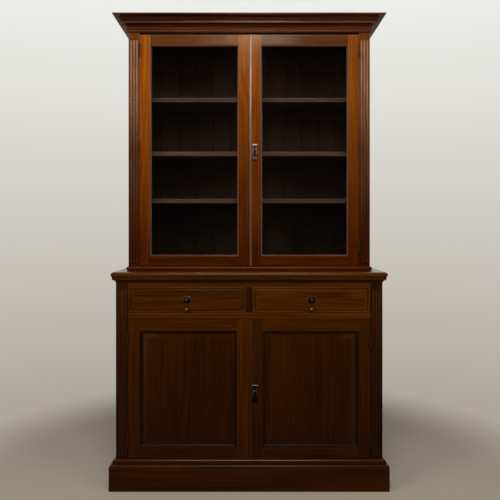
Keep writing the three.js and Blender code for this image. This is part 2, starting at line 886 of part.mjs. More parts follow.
// Sides, pilasters and hinges, the same on the left and on the right
for (const side of ["left", "right"]) {
  const group = sideGroup(side);
  const cupboardBearerY = lowerFrontY + cupboardShelfSetback + bearerInset;
  piece(
    group,
    `lower_${side}_side`,
    sideBoard(lowerInner, lowerHalfWidth, lowerFrontY, 0, lowerTopZ, [cupboardShelfTop], cupboardBearerY),
    lowerWood,
  );
  const upperBearerY = upperFrontY + upperShelfSetback + bearerInset;
  piece(
    group,
    `upper_${side}_side`,
    sideBoard(
      upperInner,
      upperHalfWidth,
      upperFrontY,
      upperBaseZ,
      upperCaseTopZ,
      Object.values(upperShelfTops),
      upperBearerY,
    ),
    upperWood,
  );
  piece(
    group,
    `lower_${side}_pilaster`,
    pilaster(
      lowerOpening,
      lowerHalfWidth,
      lowerFrontY,
      0,
      lowerTopZ,
      lowerFloorZ + lowerFluteFoot,
      lowerTopZ - lowerFluteHead,
      Object.values(lowerHingeZ),
    ),
    lowerWood,
  );
  piece(
    group,
    `upper_${side}_pilaster`,
    pilaster(
      upperOpening,
      upperHalfWidth,
      upperFrontY,
      upperBaseZ,
      upperCaseTopZ,
      upperBaseZ + baseMouldingHeight + upperFluteFoot,
      upperCaseTopZ - corniceLap - upperFluteHead,
      Object.values(upperHingeZ),
    ),
    upperWood,
  );
  for (const [place, z] of Object.entries(upperHingeZ)) {
    piece(group, `upper_${side}_hinge_${place}`, hinge(upperOpening, upperFrontY, z), darkBronze);
  }
  for (const [place, z] of Object.entries(lowerHingeZ)) {
    piece(group, `lower_${side}_hinge_${place}`, hinge(lowerOpening, lowerFrontY, z), darkBronze);
  }
}

// An upper door: a frame with a moulded sight edge, a pane in a rebate and the beads that hold it.
function glazedDoor(side) {
  const group = sideGroup(side);
  const beaded = side === "right";
  const x0 = meetingGap / 2;
  const x1 = upperOpening - doorSideGap;
  const z0 = upperDoorZ;
  const z1 = upperDoorZ + upperDoorHeight;
  const faceY = upperFrontY + doorSetback;
  const backFace = faceY + doorThickness;
  const meetingStile = beaded ? upperBeadedStile : upperMeetingStile;
  const sight = sightOf(x0, x1, z0, z1, meetingStile, upperHingeStile, upperBottomRail, upperTopRail);
  const opening = openingEdge(sightRows, sightMouldingWidth, sightMouldingDepth, mouldingSteps, faceY);
  const glassY = faceY + glassSetback;
  const beadY = glassY + glassThickness;
  let frame = board(x0, x1, faceY, backFace, z0, z1)
    .subtract(mitredBlock(opening, sight.x0, sight.x1, sight.z0, sight.z1))
    .subtract(grown(sight, glazingRebate, glassY, backFace + cutReach));
  if (beaded) {
    const keyZ = upperFloorZ + upperKeyHeight;
    frame = frame.add(meetingBead(x0, faceY, z0, z1)).subtract(lockHollow(x0, faceY, keyZ));
    piece(group, "upper_escutcheon", escutcheon(x0, faceY, keyZ), darkBronze);
    piece(group, "upper_door_drop", spadeDrop(x0, faceY, keyZ), darkBronze);
    piece(group, "upper_lock", lock(x0, faceY, keyZ), lockSteel);
  }
  frame = withKnuckles(frame, upperOpening, upperFrontY, Object.values(upperHingeZ));
  piece(group, `upper_${side}_door_frame`, frame, upperWood);
  piece(group, `upper_${side}_glass`, grown(sight, glazingRebate - glassEdgeGap, glassY, beadY), paneGlass);
  const through = grown(sight, 0, beadY - cutReach, backFace + cutReach);
  const beads = grown(sight, glazingRebate - fitGap, beadY, backFace).subtract(through);
  piece(group, `upper_${side}_glazing_beads`, beads, upperWood);
}

// A lower door: a frame with a moulding round a raised panel that sits loose in a groove.
function panelledDoor(side) {
  const group = sideGroup(side);
  const beaded = side === "right";
  const x0 = meetingGap / 2;
  const x1 = lowerOpening - doorSideGap;
  const z0 = lowerDoorZ;
  const z1 = lowerDoorZ + lowerDoorHeight;
  const faceY = lowerFrontY + doorSetback;
  const meetingStile = (beaded ? lowerBeadedStile : lowerMeetingStile) + panelMouldingWidth;
  const sight = sightOf(
    x0,
    x1,
    z0,
    z1,
    meetingStile,
    lowerHingeStile + panelMouldingWidth,
    lowerBottomRail + panelMouldingWidth,
    lowerTopRail + panelMouldingWidth,
  );
  const opening = openingEdge(
    panelMouldingRows,
    panelMouldingWidth,
    panelMouldingDepth,
    panelMouldingSteps,
    faceY,
  );
  const grooveY = faceY + panelGrooveSetback;
  const grooveBack = grooveY + panelTongueThickness + 2 * fitGap;
  let frame = board(x0, x1, faceY, faceY + doorThickness, z0, z1)
    .subtract(mitredBlock(opening, sight.x0, sight.x1, sight.z0, sight.z1))
    .subtract(grown(sight, panelGrooveDepth, grooveY, grooveBack));
  if (beaded) {
    const keyZ = lowerFloorZ + lowerKeyHeight;
    frame = frame.add(meetingBead(x0, faceY, z0, z1)).subtract(lockHollow(x0, faceY, keyZ));
    piece(group, "lower_escutcheon", escutcheon(x0, faceY, keyZ), darkBronze);
    piece(group, "lower_door_drop", spadeDrop(x0, faceY, keyZ), darkBronze);
    piece(group, "lower_lock", lock(x0, faceY, keyZ), lockSteel);
  }
  frame = withKnuckles(frame, lowerOpening, lowerFrontY, Object.values(lowerHingeZ));
  piece(group, `lower_${side}_door_frame`, frame, lowerWood);
  const tongue = panelGrooveDepth - fitGap;
  const tongueY = grooveY + fitGap;
  const fieldY = faceY + panelFieldSetback;
  const panel = mitredBlock(
    [
      [-panelBevelWidth, fieldY],
      [-panelBevelWidth, fieldY + panelFieldStep],
      [-panelMarginFlat, tongueY],
      [tongue, tongueY],
      [tongue, tongueY + panelTongueThickness],
    ],
    sight.x0,
    sight.x1,
    sight.z0,
    sight.z1,
  );
  piece(group, `lower_${side}_panel`, panel, lowerWood);
}

// A drawer: a front with a moulded edge, an open box behind it, and a rosette with a pear drop.
function drawer(side) {
  const group = sideGroup(side);
  const x0 = muntinHalf + drawerGap;
  const x1 = lowerOpening - drawerGap;
  const z0 = drawerFrontZ;
  const z1 = drawerFrontZ + drawerFrontHeight;
  const frontBack = lowerFrontY + boardThickness;
  const edge = pointsOf(drawerEdgeRows, drawerEdgeWidth, drawerEdgeDepth, mouldingSteps);
  const outline = [...edge.map(([out, back]) => [out, lowerFrontY + back]), [0, frontBack]];
  const front = mitredBlock(outline, x0, x1, z0, z1);
  piece(group, `${side}_drawer_front`, front, lowerWood);
  const floor = drawerFloorZ + fitGap;
  const boxBack = backBoardY - drawerBackSpace;
  const left = x0 + drawerBoxInset;
  const right = x1 - drawerBoxInset;
  const wall = drawerSideThickness;
  const box = board(left, right, frontBack, boxBack, floor, floor + drawerBoxHeight).subtract(
    board(
      left + wall,
      right - wall,
      frontBack - cutReach,
      boxBack - wall,
      floor + drawerFloorThickness,
      floor + drawerBoxHeight + cutReach,
    ),
  );
  piece(group, `${side}_drawer_box`, box, drawerWood);
  const middle = (x0 + x1) / 2;
  const height = (z0 + z1) / 2;
  piece(group, `${side}_drawer_rosette`, rosette(middle, lowerFrontY, height), darkBronze);
  piece(group, `${side}_drawer_drop`, pearDrop(middle, lowerFrontY, height), darkBronze);
}

for (const side of ["left", "right"]) {
  glazedDoor(side);
  panelledDoor(side);
  drawer(side);
}

export default bookcase;
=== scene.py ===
# Glazed bookcase on a cupboard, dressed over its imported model.
# Metres. X runs to the right as seen from the front, Y to the back, Z up from the floor.

import math
import zlib

import bpy
import numpy as np
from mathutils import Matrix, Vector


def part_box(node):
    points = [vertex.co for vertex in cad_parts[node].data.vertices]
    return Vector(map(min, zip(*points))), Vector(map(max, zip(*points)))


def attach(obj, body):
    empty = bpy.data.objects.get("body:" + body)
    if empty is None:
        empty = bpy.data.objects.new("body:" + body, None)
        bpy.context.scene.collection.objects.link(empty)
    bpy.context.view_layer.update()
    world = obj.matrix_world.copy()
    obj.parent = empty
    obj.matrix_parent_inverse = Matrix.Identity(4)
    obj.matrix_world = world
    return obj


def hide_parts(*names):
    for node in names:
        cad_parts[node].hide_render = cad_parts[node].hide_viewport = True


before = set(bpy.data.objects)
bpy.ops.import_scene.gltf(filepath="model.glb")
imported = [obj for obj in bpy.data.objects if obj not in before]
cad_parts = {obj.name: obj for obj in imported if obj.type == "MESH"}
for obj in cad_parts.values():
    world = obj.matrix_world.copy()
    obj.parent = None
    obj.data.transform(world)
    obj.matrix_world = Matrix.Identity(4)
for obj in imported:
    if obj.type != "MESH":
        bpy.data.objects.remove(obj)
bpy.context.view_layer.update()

bl_info = {
    "name": "Glazed bookcase",
    "version": (1, 0, 0),
    "blender": (4, 5, 0),
    "location": "3D View > Sidebar > Bookcase",
    "description": "Builds the timber, metal and glass of a glazed bookcase on a cupboard",
    "category": "Object",
}

MM = 0.001
X, Y, Z = 0, 1, 2
SHARP_OVER = math.radians(40)
BAND = 3 * MM  # how far wear and painted light reach from an edge, unless a shape says less

# Planes and levels of the two cases, as the imported model has them
BACK, BACK_BOARD = 0.2325, 0.01
LOWER_FRONT, UPPER_FRONT = -0.2045, -0.1
LOWER_HALF, UPPER_HALF = 0.632, 0.593
LOWER_OPENING, UPPER_OPENING = 0.575, 0.54
BOARD, DOOR_THICKNESS = 0.02, 0.024
LOWER_TOP_Z, LOWER_TOP_HEIGHT = 0.986, 0.045
UPPER_BASE_Z, UPPER_CASE_TOP_Z = 1.031, 2.213
CORNICE_Z, CORNICE_HEIGHT = UPPER_CASE_TOP_Z - 0.014, 0.076
PLATE_X = 0.027  # the middle of the key plates and of their drops

# Factors that darken a wood in its pores, and under grime and painted shade in hollows and under lips
PORE_SHADE, GRIME_AND_PAINTED_SHADE = (0.1, 0.06, 0.04, 1), (0.12, 0.08, 0.06, 1)

# Outlines in shares of a width and a height. A row of two is a straight line to a point, and a row of
# four is a curve to the point in its last two numbers, drawn towards the point in its first two.
PLINTH_MOULDING_ROWS = [(1, 0), (1, 0.42, 0.57, 0.42), (0.5, 0.45), (0.5, 0.6), (0.46, 0.97, 0.08, 1)]
LOWER_TOP_ROWS = [
    (0.08, -0.1), (0.08, -0.07), (0.2, 0.1, 0.56, 0.15), (0.62, 0.16), (0.77, 0.19, 0.77, 0.3), (0.77, 0.46),
    (0.82, 0.54, 0.94, 0.58), (0.98, 0.6), (1, 0.64), (1, 0.72), (0.98, 0.93, 0.5, 0.985), (0.08, 1),
]
BASE_MOULDING_ROWS = [
    (0.3, 0), (0.3, 0.05), (0.95, 0.06, 1, 0.32), (1, 0.6), (1, 0.78, 0.75, 0.8), (0.5, 0.84), (0.12, 1),
]
CORNICE_ROWS = [
    (0.05, 0), (0.05, 0.02), (0.19, 0.04, 0.1, 0.13), (0.09, 0.15), (0.1, 0.17), (0.11, 0.42, 0.34, 0.495),
    (0.42, 0.5), (0.45, 0.505, 0.45, 0.53), (0.45, 0.645), (0.43, 0.655), (0.43, 0.67),
    (0.6, 0.68, 0.57, 0.74), (0.53, 0.75), (0.53, 0.765), (0.6, 0.88, 0.88, 0.9), (0.92, 0.905),
    (0.92, 0.93), (1, 0.94), (1, 1),
]
SIGHT_ROWS = [(1, 0.2), (0.85, 0.2), (0, 0.2, 0, 1)]
PANEL_MOULDING_ROWS = [(1, 0.2), (0.9, 0.2), (0.45, 0.1, 0.4, 0.6), (0.3, 0.7), (0, 0.7, 0, 1)]
DRAWER_EDGE_ROWS = [
    (0, 1), (0, 0.3), (0, 0, -0.2, 0), (-0.42, 0, -0.42, 0.3), (-0.43, 0.6), (-0.54, 0.6), (-0.56, 0.3),
    (-0.6, 0.02, -0.85, 0.01), (-1, 0),
]
ESCUTCHEON_ROWS = [
    (-1, 0), (1, 0), (0.95, -0.2, 0.66, -0.28), (0.5, -0.5, 0.8, -0.66), (0.7, -0.92, 0, -1),
    (-0.7, -0.92, -0.8, -0.66), (-0.5, -0.5, -0.66, -0.28), (-0.95, -0.2, -1, 0),
]
SPADE_ROWS = [
    (-0.185, 0), (-0.185, -0.2), (-0.3, -0.5, -1, -0.72), (-1.02, -0.98, -0.55, -1), (0, -0.93, 0.55, -1),
    (1.02, -0.98, 1, -0.72), (0.3, -0.5, 0.185, -0.2), (0.185, 0),
]
ROSETTE_ROWS = [
    (1, 0), (1, 0.45), (0.99, 0.8, 0.93, 0.85), (0.88, 0.98, 0.82, 0.88), (0.77, 0.55, 0.72, 0.55),
    (0.6, 0.5, 0.45, 0.6), (0.42, 0.98, 0.34, 1), (0.1, 1),
]
PEAR_ROWS = [
    (0.2, -0.995), (0.35, -0.985), (0.42, -0.955, 0.5, -0.95), (0.8, -0.935, 0.93, -0.89),
    (1.04, -0.84, 0.93, -0.79), (0.78, -0.72, 0.42, -0.66), (0.3, -0.63, 0.36, -0.6),
    (0.56, -0.585, 0.5, -0.57), (0.44, -0.53, 0.27, -0.53), (0.24, -0.02),
]

# Rows of (level as a share of the height, the most wear there) on two mouldings: low wear paints shade in
# their hollows and under their lips, and rows of 1 leave their fillets' painted highlights
LOWER_TOP_PAINTED_SHADE = [(0.14, -1), (0.2, -0.3), (0.5, -0.6), (0.6, 1)]
CORNICE_PAINTED_SHADE = [
    (0.2, 0.2), (0.3, -0.1), (0.46, -0.8), (0.505, -0.9), (0.52, 1), (0.65, 1), (0.66, -0.4), (0.76, -0.3),
    (0.8, 0), (0.9, 0), (0.935, -0.7), (0.94, 1),
]


def linear(code):
    """The linear RGBA of an sRGB hex colour: each channel goes through the sRGB curve backwards."""
    coded = np.array([int(code[i : i + 2], 16) for i in (1, 3, 5)]) / 255
    decoded = np.where(coded <= 0.04045, coded / 12.92, ((coded + 0.055) / 1.055) ** 2.4)
    return (*decoded.tolist(), 1.0)


# Shapes: each is (points, groups, wear), where a group is (faces, the axis that the grain runs along)


def traced(rows, across, up, steps=8):
    """The points of an outline's rows: each curve is (1-t)^2 a + 2 t (1-t) b + t^2 c at even steps of t."""
    scale = np.array([across, up])
    points = [np.array(rows[0]) * scale]
    t = np.linspace(0, 1, steps + 1)[1:, None]
    for row in rows[1:]:
        end = np.array(row[-2:]) * scale
        if len(row) == 2:
            points.append(end)
        else:
            bend = np.array(row[:2]) * scale
            points.extend((1 - t) ** 2 * points[-1] + 2 * t * (1 - t) * bend + t**2 * end)
    return np.array(points)


def supported(section, closed, band):
    """The section with a point at a band's width from both ends of each long side, so that wear and painted
    light stay near the edges: the points are read off again along the section's own length."""
    ring = np.vstack([section, section[:1]]) if closed else section
    sides = np.linalg.norm(np.diff(ring, axis=0), axis=1)
    along = np.concatenate([[0], np.cumsum(sides)])
    long_sides = sides > 2.5 * band
    extra = np.concatenate([along[:-1][long_sides] + band, along[1:][long_sides] - band])
    places = np.unique(np.round(np.concatenate([along, extra]), 9))
    if closed:
        places = places[:-1]
    return np.column_stack([np.interp(places, along, ring[:, k]) for k in (0, 1)])


def edge_wear_and_light(section, closed):
    """How much a section's edges are rubbed, from 1 on a sharp outer edge, where paler colour paints wear and
    a highlight, to -1 in a sharp hollow, where darker colour paints grime and shade: the turn at each point
    over 60 degrees, with the sign of the area that the section goes round."""
    inner = section[:, 0].min() - 1
    ring = section if closed else np.vstack([section, [inner, section[-1, 1]], [inner, section[0, 1]]])
    before = ring - np.roll(ring, 1, axis=0)
    after = np.roll(ring, -1, axis=0) - ring
    turn = np.arctan2(
        before[:, 0] * after[:, 1] - before[:, 1] * after[:, 0], (before * after).sum(axis=1)
    )
    follow = np.roll(ring, -1, axis=0)
    area = (ring[:, 0] * follow[:, 1] - ring[:, 1] * follow[:, 0]).sum()
    return np.clip(np.sign(area) * turn / math.radians(60), -1, 1)[: len(section)]


def facing_out(points, groups):
    """The groups with their faces turned outwards: all are turned over if the closed shape's volume, the sum
    of the pyramids from the origin to each face, comes out below zero."""
    volume = 0.0
    for faces, _ in groups:
        first = points[faces[:, 0]]
        for k in range(1, faces.shape[1] - 1):
            corner, following = points[faces[:, k]], points[faces[:, k + 1]]
            volume += np.einsum("ij,ij->", first, np.cross(corner, following))
    if volume < 0:
        groups = [(faces[:, ::-1], along) for faces, along in groups]
    return groups


def eased_board(low, high, along, ease):
    """A board with rounded edges. Each point of a gridded box is drawn in to the box less the ease, then
    pushed out again by the ease along the line to where it was. The wear is 1 on the rounds, where it paints
    rubbing and a highlight, and falls to 0 over a band beside them."""
    low, high = np.array(low, float), np.array(high, float)
    middle, half = (low + high) / 2, (high - low) / 2
    ease = min(ease, 0.4 * half.min())
    core = half - ease
    flat = core - np.minimum(BAND, core / 2)
    rise = ease * math.tan(math.radians(22.5))
    upper = np.stack([flat, core, core + rise, half])
    lines = np.concatenate([-upper[::-1], upper])
    rubbed_and_lit = np.array([1, 1, 1, 0, 0, 1, 1, 1.0])
    count = len(lines)
    cell = np.arange(count * count).reshape(count, count)
    corners = np.stack([cell[:-1, :-1], cell[1:, :-1], cell[1:, 1:], cell[:-1, 1:]], -1).reshape(-1, 4)
    points, faces, wear_and_light = [], [], []
    for axis in (X, Y, Z):
        second, third = (axis + 1) % 3, (axis + 2) % 3
        grid = np.zeros((count, count, 3))
        grid[..., second] = lines[:, second][:, None]
        grid[..., third] = lines[:, third][None, :]
        for side in (-1, 1):
            grid[..., axis] = side * half[axis]
            faces.append((corners if side > 0 else corners[:, ::-1]) + len(points) * count * count)
            points.append(grid.reshape(-1, 3).copy())
            wear_and_light.append(np.maximum(rubbed_and_lit[:, None], rubbed_and_lit[None, :]).ravel())
    points = np.concatenate(points)
    inner = np.clip(points, -core, core)
    out = points - inner
    points = middle + inner + ease * out / np.linalg.norm(out, axis=1, keepdims=True)
    points, first, place = np.unique(
        np.round(points, 8), axis=0, return_index=True, return_inverse=True
    )
    faces = place.reshape(-1)[np.concatenate(faces)]
    return points, [(faces, along)], np.concatenate(wear_and_light)[first]


def carried(section, base, outward, upward, along, ring=False, closed=True, field=None, band=BAND):
    """A section carried along a path of corners: point (i, j) is base i, plus out j times outward i, plus up
    j times upward. A closed section on an open path is shut by a face at each end. An open section on a
    ring goes on inwards for a band from its first and its last points, and is shut by a face inside each,
    with the field's grain."""
    section = np.array(section, float)
    if not closed:
        section = np.vstack([section[:1] - (band, 0), section, section[-1:] - (band, 0)])
    section = supported(section, closed, band)
    rubbed_and_lit = edge_wear_and_light(section, closed)
    base, outward, upward = (np.array(a, float) for a in (base, outward, upward))
    points = base[:, None] + section[None, :, :1] * outward[:, None] + section[None, :, 1:] * upward
    count, size = points.shape[:2]
    index = np.arange(count * size).reshape(count, size)
    this, following = index, np.roll(index, -1, axis=0)
    if not ring:
        this, following = this[:-1], following[:-1]
    here, onward = this, np.roll(this, -1, axis=1)
    there, beyond = following, np.roll(following, -1, axis=1)
    if not closed:
        here, onward, there, beyond = (a[:, :-1] for a in (here, onward, there, beyond))
    quads = np.stack([here, there, beyond, onward], -1)
    groups = [(quads[i], along[i % len(along)]) for i in range(len(quads))]
    if not ring:
        groups += [(index[:1, ::-1], along[0]), (index[-1:], along[-1])]
    if not closed:
        groups += [(index[:, 0][None], field), (index[:, -1][None, ::-1], field)]
    points = points.reshape(-1, 3)
    return points, facing_out(points, groups), np.tile(rubbed_and_lit, count)


def prism(outline, axis, start, end, along, band=BAND):
    """A closed outline carried straight along an axis from start to end. Its two numbers are places on the
    two axes that come next in the round of X, Y and Z."""
    unit = np.eye(3)
    base, outward = [start * unit[axis], end * unit[axis]], [unit[(axis + 1) % 3]] * 2
    return carried(outline, base, outward, unit[(axis + 2) % 3], (along,), band=band)


def turned(section, middle, axis, sides):
    """A section spun about a line through the middle: point (i, j) lies up j along the axis, and out j round
    it at angle i. Fans of triangles to a point on the line close both ends."""
    section = np.array(section, float)
    angle = np.linspace(0, 2 * math.pi, sides, endpoint=False)
    points = np.zeros((sides, len(section), 3))
    second, third = (axis + 1) % 3, (axis + 2) % 3
    points[..., axis] = section[:, 1]
    points[..., second] = np.cos(angle)[:, None] * section[:, 0]
    points[..., third] = np.sin(angle)[:, None] * section[:, 0]
    ends = np.zeros((2, 3))
    ends[:, axis] = section[[0, -1], 1]
    index = np.arange(sides * len(section)).reshape(sides, -1)
    after = np.roll(index, -1, axis=0)
    quads = np.stack([index[:, :-1], after[:, :-1], after[:, 1:], index[:, 1:]], -1).reshape(-1, 4)
    first, last = index.size, index.size + 1
    foot = np.column_stack([after[:, 0], index[:, 0], np.full(sides, first)])
    head = np.column_stack([index[:, -1], after[:, -1], np.full(sides, last)])
    points = np.vstack([points.reshape(-1, 3), ends]) + np.array(middle)
    rubbed_and_lit = edge_wear_and_light(section, False)
    wear_and_light = np.concatenate([np.tile(rubbed_and_lit, sides), [0.2, 0.2]])
    return points, facing_out(points, [(quads, Z), (foot, Z), (head, Z)]), wear_and_light


def inset(outline, by):
    """An outline drawn in: each point moves along the mean normal of its two sides."""
    before = outline - np.roll(outline, 1, axis=0)
    after = np.roll(outline, -1, axis=0) - outline
    before /= np.linalg.norm(before, axis=1, keepdims=True)
    after /= np.linalg.norm(after, axis=1, keepdims=True)
    tangent = before + after
    normal = np.column_stack([-tangent[:, 1], tangent[:, 0]])
    normal /= np.maximum(np.linalg.norm(normal, axis=1, keepdims=True), 1e-9)
    follow = np.roll(outline, -1, axis=0)
    area = (outline[:, 0] * follow[:, 1] - outline[:, 1] * follow[:, 0]).sum()
    return outline + by * np.sign(area) * normal


def plate(outline, x, back_y, z, steps, hole=None):
    """A plate on an upright face: the outline repeated at steps of (inset, height to the front, wear). It is
    shut by a face at the back and, without a hole, at the front. A hole is a function from the angle about
    the place (0, 0) to the distance at which its edge lies."""
    loops = [(inset(outline, depth), height, rub) for depth, height, rub in steps]
    if hole is not None:
        angle = np.arctan2(outline[:, 1], outline[:, 0])
        edge = hole(angle)[:, None] * np.column_stack([np.cos(angle), np.sin(angle)])
        # The hole's wall darkens towards the back: painted shade down the hole
        loops += [(edge, steps[-1][1], 0.4), (edge, steps[0][1], -1)]
    points = np.stack(
        [np.insert(flat, 1, 0, axis=1) + (x, back_y - height, z) for flat, height, _ in loops]
    )
    wear_and_light = np.repeat([float(rub) for _, _, rub in loops], len(outline))
    index = np.arange(points.shape[0] * points.shape[1]).reshape(points.shape[:2])
    if hole is not None:
        index = np.vstack([index, index[:1]])
    after = np.roll(index, -1, axis=1)
    quads = np.stack([index[:-1], after[:-1], after[1:], index[1:]], -1).reshape(-1, 4)
    groups = [(quads, Z)]
    if hole is None:
        groups += [(index[:1, ::-1], Z), (index[-1:], Z)]
    points = points.reshape(-1, 3)
    return points, facing_out(points, groups), wear_and_light


def fluted_board(low, high, foot, head, middles, width, depth, ease, rub):
    """A board with round-bottomed flutes in its front face. The front is a grid whose depth is sqrt(r^2 - d^2)
    - (r - depth) where d, the distance to the line down the flute's middle, is under half the width. Grid
    lines lie where the round ends of the flutes cross the lines that run up them. rub is the wear in the
    hollows: the rubbing of dusting cloths, and through the pale rub colour a painted sheen up the flutes."""
    low, high = np.array(low, float), np.array(high, float)
    shares = np.array([0.25, 0.5, 0.7, 0.85, 0.95, 1])
    across = np.concatenate([[0], shares, -shares]) * width / 2
    rise = np.sqrt(np.maximum(0, (width / 2) ** 2 - (np.append(shares, 0) * width / 2) ** 2))
    start, end = foot + width / 2, head - width / 2
    columns = np.concatenate(
        [[low[0], low[0] + ease, high[0] - ease, high[0]], *[m + across for m in middles]]
    )
    rows = np.concatenate([[low[2], low[2] + ease, high[2] - ease, high[2]], start - rise, end + rise])
    columns, rows = np.unique(np.round(columns, 8)), np.unique(np.round(rows, 8))
    gx, gz = np.meshgrid(columns, rows)
    past = np.maximum(0, np.maximum(start - gz, gz - end))
    apart = np.min([np.hypot(gx - m, past) for m in middles], axis=0)
    radius = ((width / 2) ** 2 + depth**2) / (2 * depth)
    sunk = np.where(
        apart < width / 2 - 1e-7, np.sqrt(np.maximum(0, radius**2 - apart**2)) - (radius - depth), 0
    )
    edge = np.minimum(gx - low[0], high[0] - gx)
    front = low[1] + sunk + np.maximum(0, ease - edge)
    rubbed_and_lit = np.where(edge < ease + 1e-7, 0.2, np.where(sunk > 0.4 * depth, rub, 0.0))
    count = gx.size
    index = np.arange(count).reshape(gx.shape)
    quads = np.stack([index[:-1, :-1], index[:-1, 1:], index[1:, 1:], index[1:, :-1]], -1)
    across_cell = quads[..., [0, 1, 3, 1, 2, 3]].reshape(-1, 3)
    up_cell = quads[..., [0, 1, 2, 0, 2, 3]].reshape(-1, 3)
    nearest = np.argmin([np.abs(gx - m) for m in middles], axis=0)
    side = np.sign(gx - np.array(middles)[nearest])[:-1, :-1] + 0.1
    half_way = np.sign(gz - (start + end) / 2)[:-1, :-1]
    falling = np.repeat((side * half_way > 0).ravel(), 2)
    front_faces = np.where(falling[:, None], across_cell, up_cell)
    rim = np.concatenate([index[0, :-1], index[:-1, -1], index[-1, :0:-1], index[:0:-1, 0]])
    behind = count + np.arange(len(rim))
    ring = np.stack([rim, np.roll(rim, -1), np.roll(behind, -1), behind], -1)
    points = np.vstack(
        [
            np.column_stack([gx.ravel(), front.ravel(), gz.ravel()]),
            np.column_stack([gx.ravel()[rim], np.full(len(rim), high[1]), gz.ravel()[rim]]),
        ]
    )
    groups = [(front_faces, Z), (ring[:, ::-1], Z), (behind[None, :], Z)]
    wear_and_light = np.concatenate([rubbed_and_lit.ravel(), np.full(len(rim), 0.2)])
    return points, facing_out(points, groups), wear_and_light


def together(shapes):
    """Several shapes as one: their points one after another, and their faces counted on."""
    points, groups, wear_and_light, start = [], [], [], 0
    for shape_points, shape_groups, shape_wear in shapes:
        points.append(shape_points)
        groups += [(faces + start, along) for faces, along in shape_groups]
        wear_and_light.append(shape_wear)
        start += len(shape_points)
    return np.concatenate(points), groups, np.concatenate(wear_and_light)


def mirrored(shape):
    """The shape on the other side: x changes sign, and each face's corners run the other way."""
    points, groups, wear_and_light = shape
    return points * (-1, 1, 1), [(faces[:, ::-1], along) for faces, along in groups], wear_and_light


def log_coordinates(points, along, seed):
    """Where a board's points lay in its log, with the grain first: the board's middle is put 5 to 11 cm from
    the pith, on a side that the seed picks, and somewhere along the log."""
    dice = np.random.default_rng(seed)
    middle = (points.min(axis=0) + points.max(axis=0)) / 2
    turn, apart = dice.uniform(0, 2 * math.pi), dice.uniform(0.05, 0.11)
    shift = (dice.uniform(-4, 4), apart * math.cos(turn), apart * math.sin(turn))
    return (points - middle)[:, [along, (along + 1) % 3, (along + 2) % 3]] + shift


def rewear_and_relight(shape, change):
    """The shape with other wear and painted light: change is a function of its points and its wear."""
    points, groups, wear_and_light = shape
    return points, groups, change(points, wear_and_light)


def painted_shade_by_level(shape, foot, height, rows):
    """The shape with its wear held down, which paints shade where a moulding is hollow or overhung. Each row
    is a level, as a share of the height above the foot, and the most wear there, and between rows the most
    wear changes evenly."""
    levels, most = zip(*rows)
    return rewear_and_relight(
        shape,
        lambda points, wear_and_light: np.minimum(wear_and_light, np.interp((points[:, 2] - foot) / height, levels, most)),
    )


def on_side(side, shape):
    """A shape that was made for the right, or its mirror where the side is the left."""
    return mirrored(shape) if side == "left" else shape


def piece(name, shape, finish_name, body, slot, nodes=(), tone=1.0):
    """One piece of the bookcase from a shape, with its grain, its wear and painted light, and the tone of its
    board, a factor on the finish's colour, as attributes. Where two faces turn by more than SHARP_OVER, their
    edge is sharp."""
    points, groups, wear_and_light = shape
    mesh = bpy.data.meshes.new(name)
    mesh.from_pydata(points.tolist(), [], [face for faces, _ in groups for face in faces.tolist()])
    grain = np.concatenate(
        [
            log_coordinates(points[faces.ravel()], along, zlib.crc32(f"{name}{number}".encode()))
            for number, (faces, along) in enumerate(groups)
        ]
    )
    mesh.attributes.new("grain", "FLOAT_VECTOR", "CORNER").data.foreach_set("vector", grain.ravel())
    mesh.attributes.new("wear_and_light", "FLOAT", "POINT").data.foreach_set("value", wear_and_light)
    mesh.attributes.new("tone", "FLOAT", "POINT").data.foreach_set("value", np.full(len(points), tone))
    mesh.polygons.foreach_set("use_smooth", np.ones(len(mesh.polygons), bool))
    mesh.set_sharp_from_angle(angle=SHARP_OVER)
    mesh.materials.append(finish(finish_name))
    made = bpy.data.objects.new(name, mesh)
    bpy.context.scene.collection.objects.link(made)
    weighted = made.modifiers.new("face_weights", "WEIGHTED_NORMAL")
    weighted.keep_sharp = True
    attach(made, body)
    if nodes:
        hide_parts(*nodes)


def both_sides(name, shape, finish_name, body, slot, nodes=(), tone=1.0):
    """A piece on the right and its mirror on the left. SIDE in names, bodies and nodes stands for either."""
    for side in ("right", "left"):
        own_name, own_body, *own_nodes = (text.replace("SIDE", side) for text in (name, body, *nodes))
        piece(own_name, on_side(side, shape), finish_name, own_body, slot, own_nodes, tone)


# Finishes


def node(tree, kind, inputs=None, output=0, **settings):
    """Adds a shader node and gives one of its outputs. Its settings are attributes, and each input is linked
    to a socket or set to a value."""
    made = tree.nodes.new(f"ShaderNode{kind}")
    for name, value in settings.items():
        setattr(made, name, value)
    for key, value in (inputs or {}).items():
        if isinstance(value, bpy.types.NodeSocket):
            tree.links.new(value, made.inputs[key])
        else:
            made.inputs[key].default_value = value
    return made.outputs[output] if len(made.outputs) else None


def new_finish(name):
    """The empty node tree of a new material."""
    made = bpy.data.materials.new(name)
    made.use_nodes = True
    made.node_tree.nodes.clear()
    return made.node_tree


def seen_directly(tree):
    """1 for a ray that comes from the camera, also through glass, and 0 once it has met gloss or paint."""
    path = node(tree, "LightPath").node.outputs
    met = node(tree, "Math", {0: path["Glossy Depth"], 1: path["Diffuse Depth"]}, operation="ADD")
    unmet = node(tree, "Math", {0: 1.0, 1: met}, operation="SUBTRACT", use_clamp=True)
    inputs = {0: path["Is Transmission Ray"], 1: unmet, 2: path["Is Camera Ray"]}
    return node(tree, "Math", inputs, operation="MULTIPLY_ADD", use_clamp=True)


def mottled(tree, scale, detail, first, second):
    """A colour between two that changes from place to place with noise, its scale in spots per metre."""
    place = node(tree, "TexCoord", output="Object")
    noise = node(tree, "TexNoise", {"Vector": place, "Scale": scale, "Detail": detail})
    return node(tree, "Mix", {0: noise, 6: first, 7: second}, 2, data_type="RGBA")


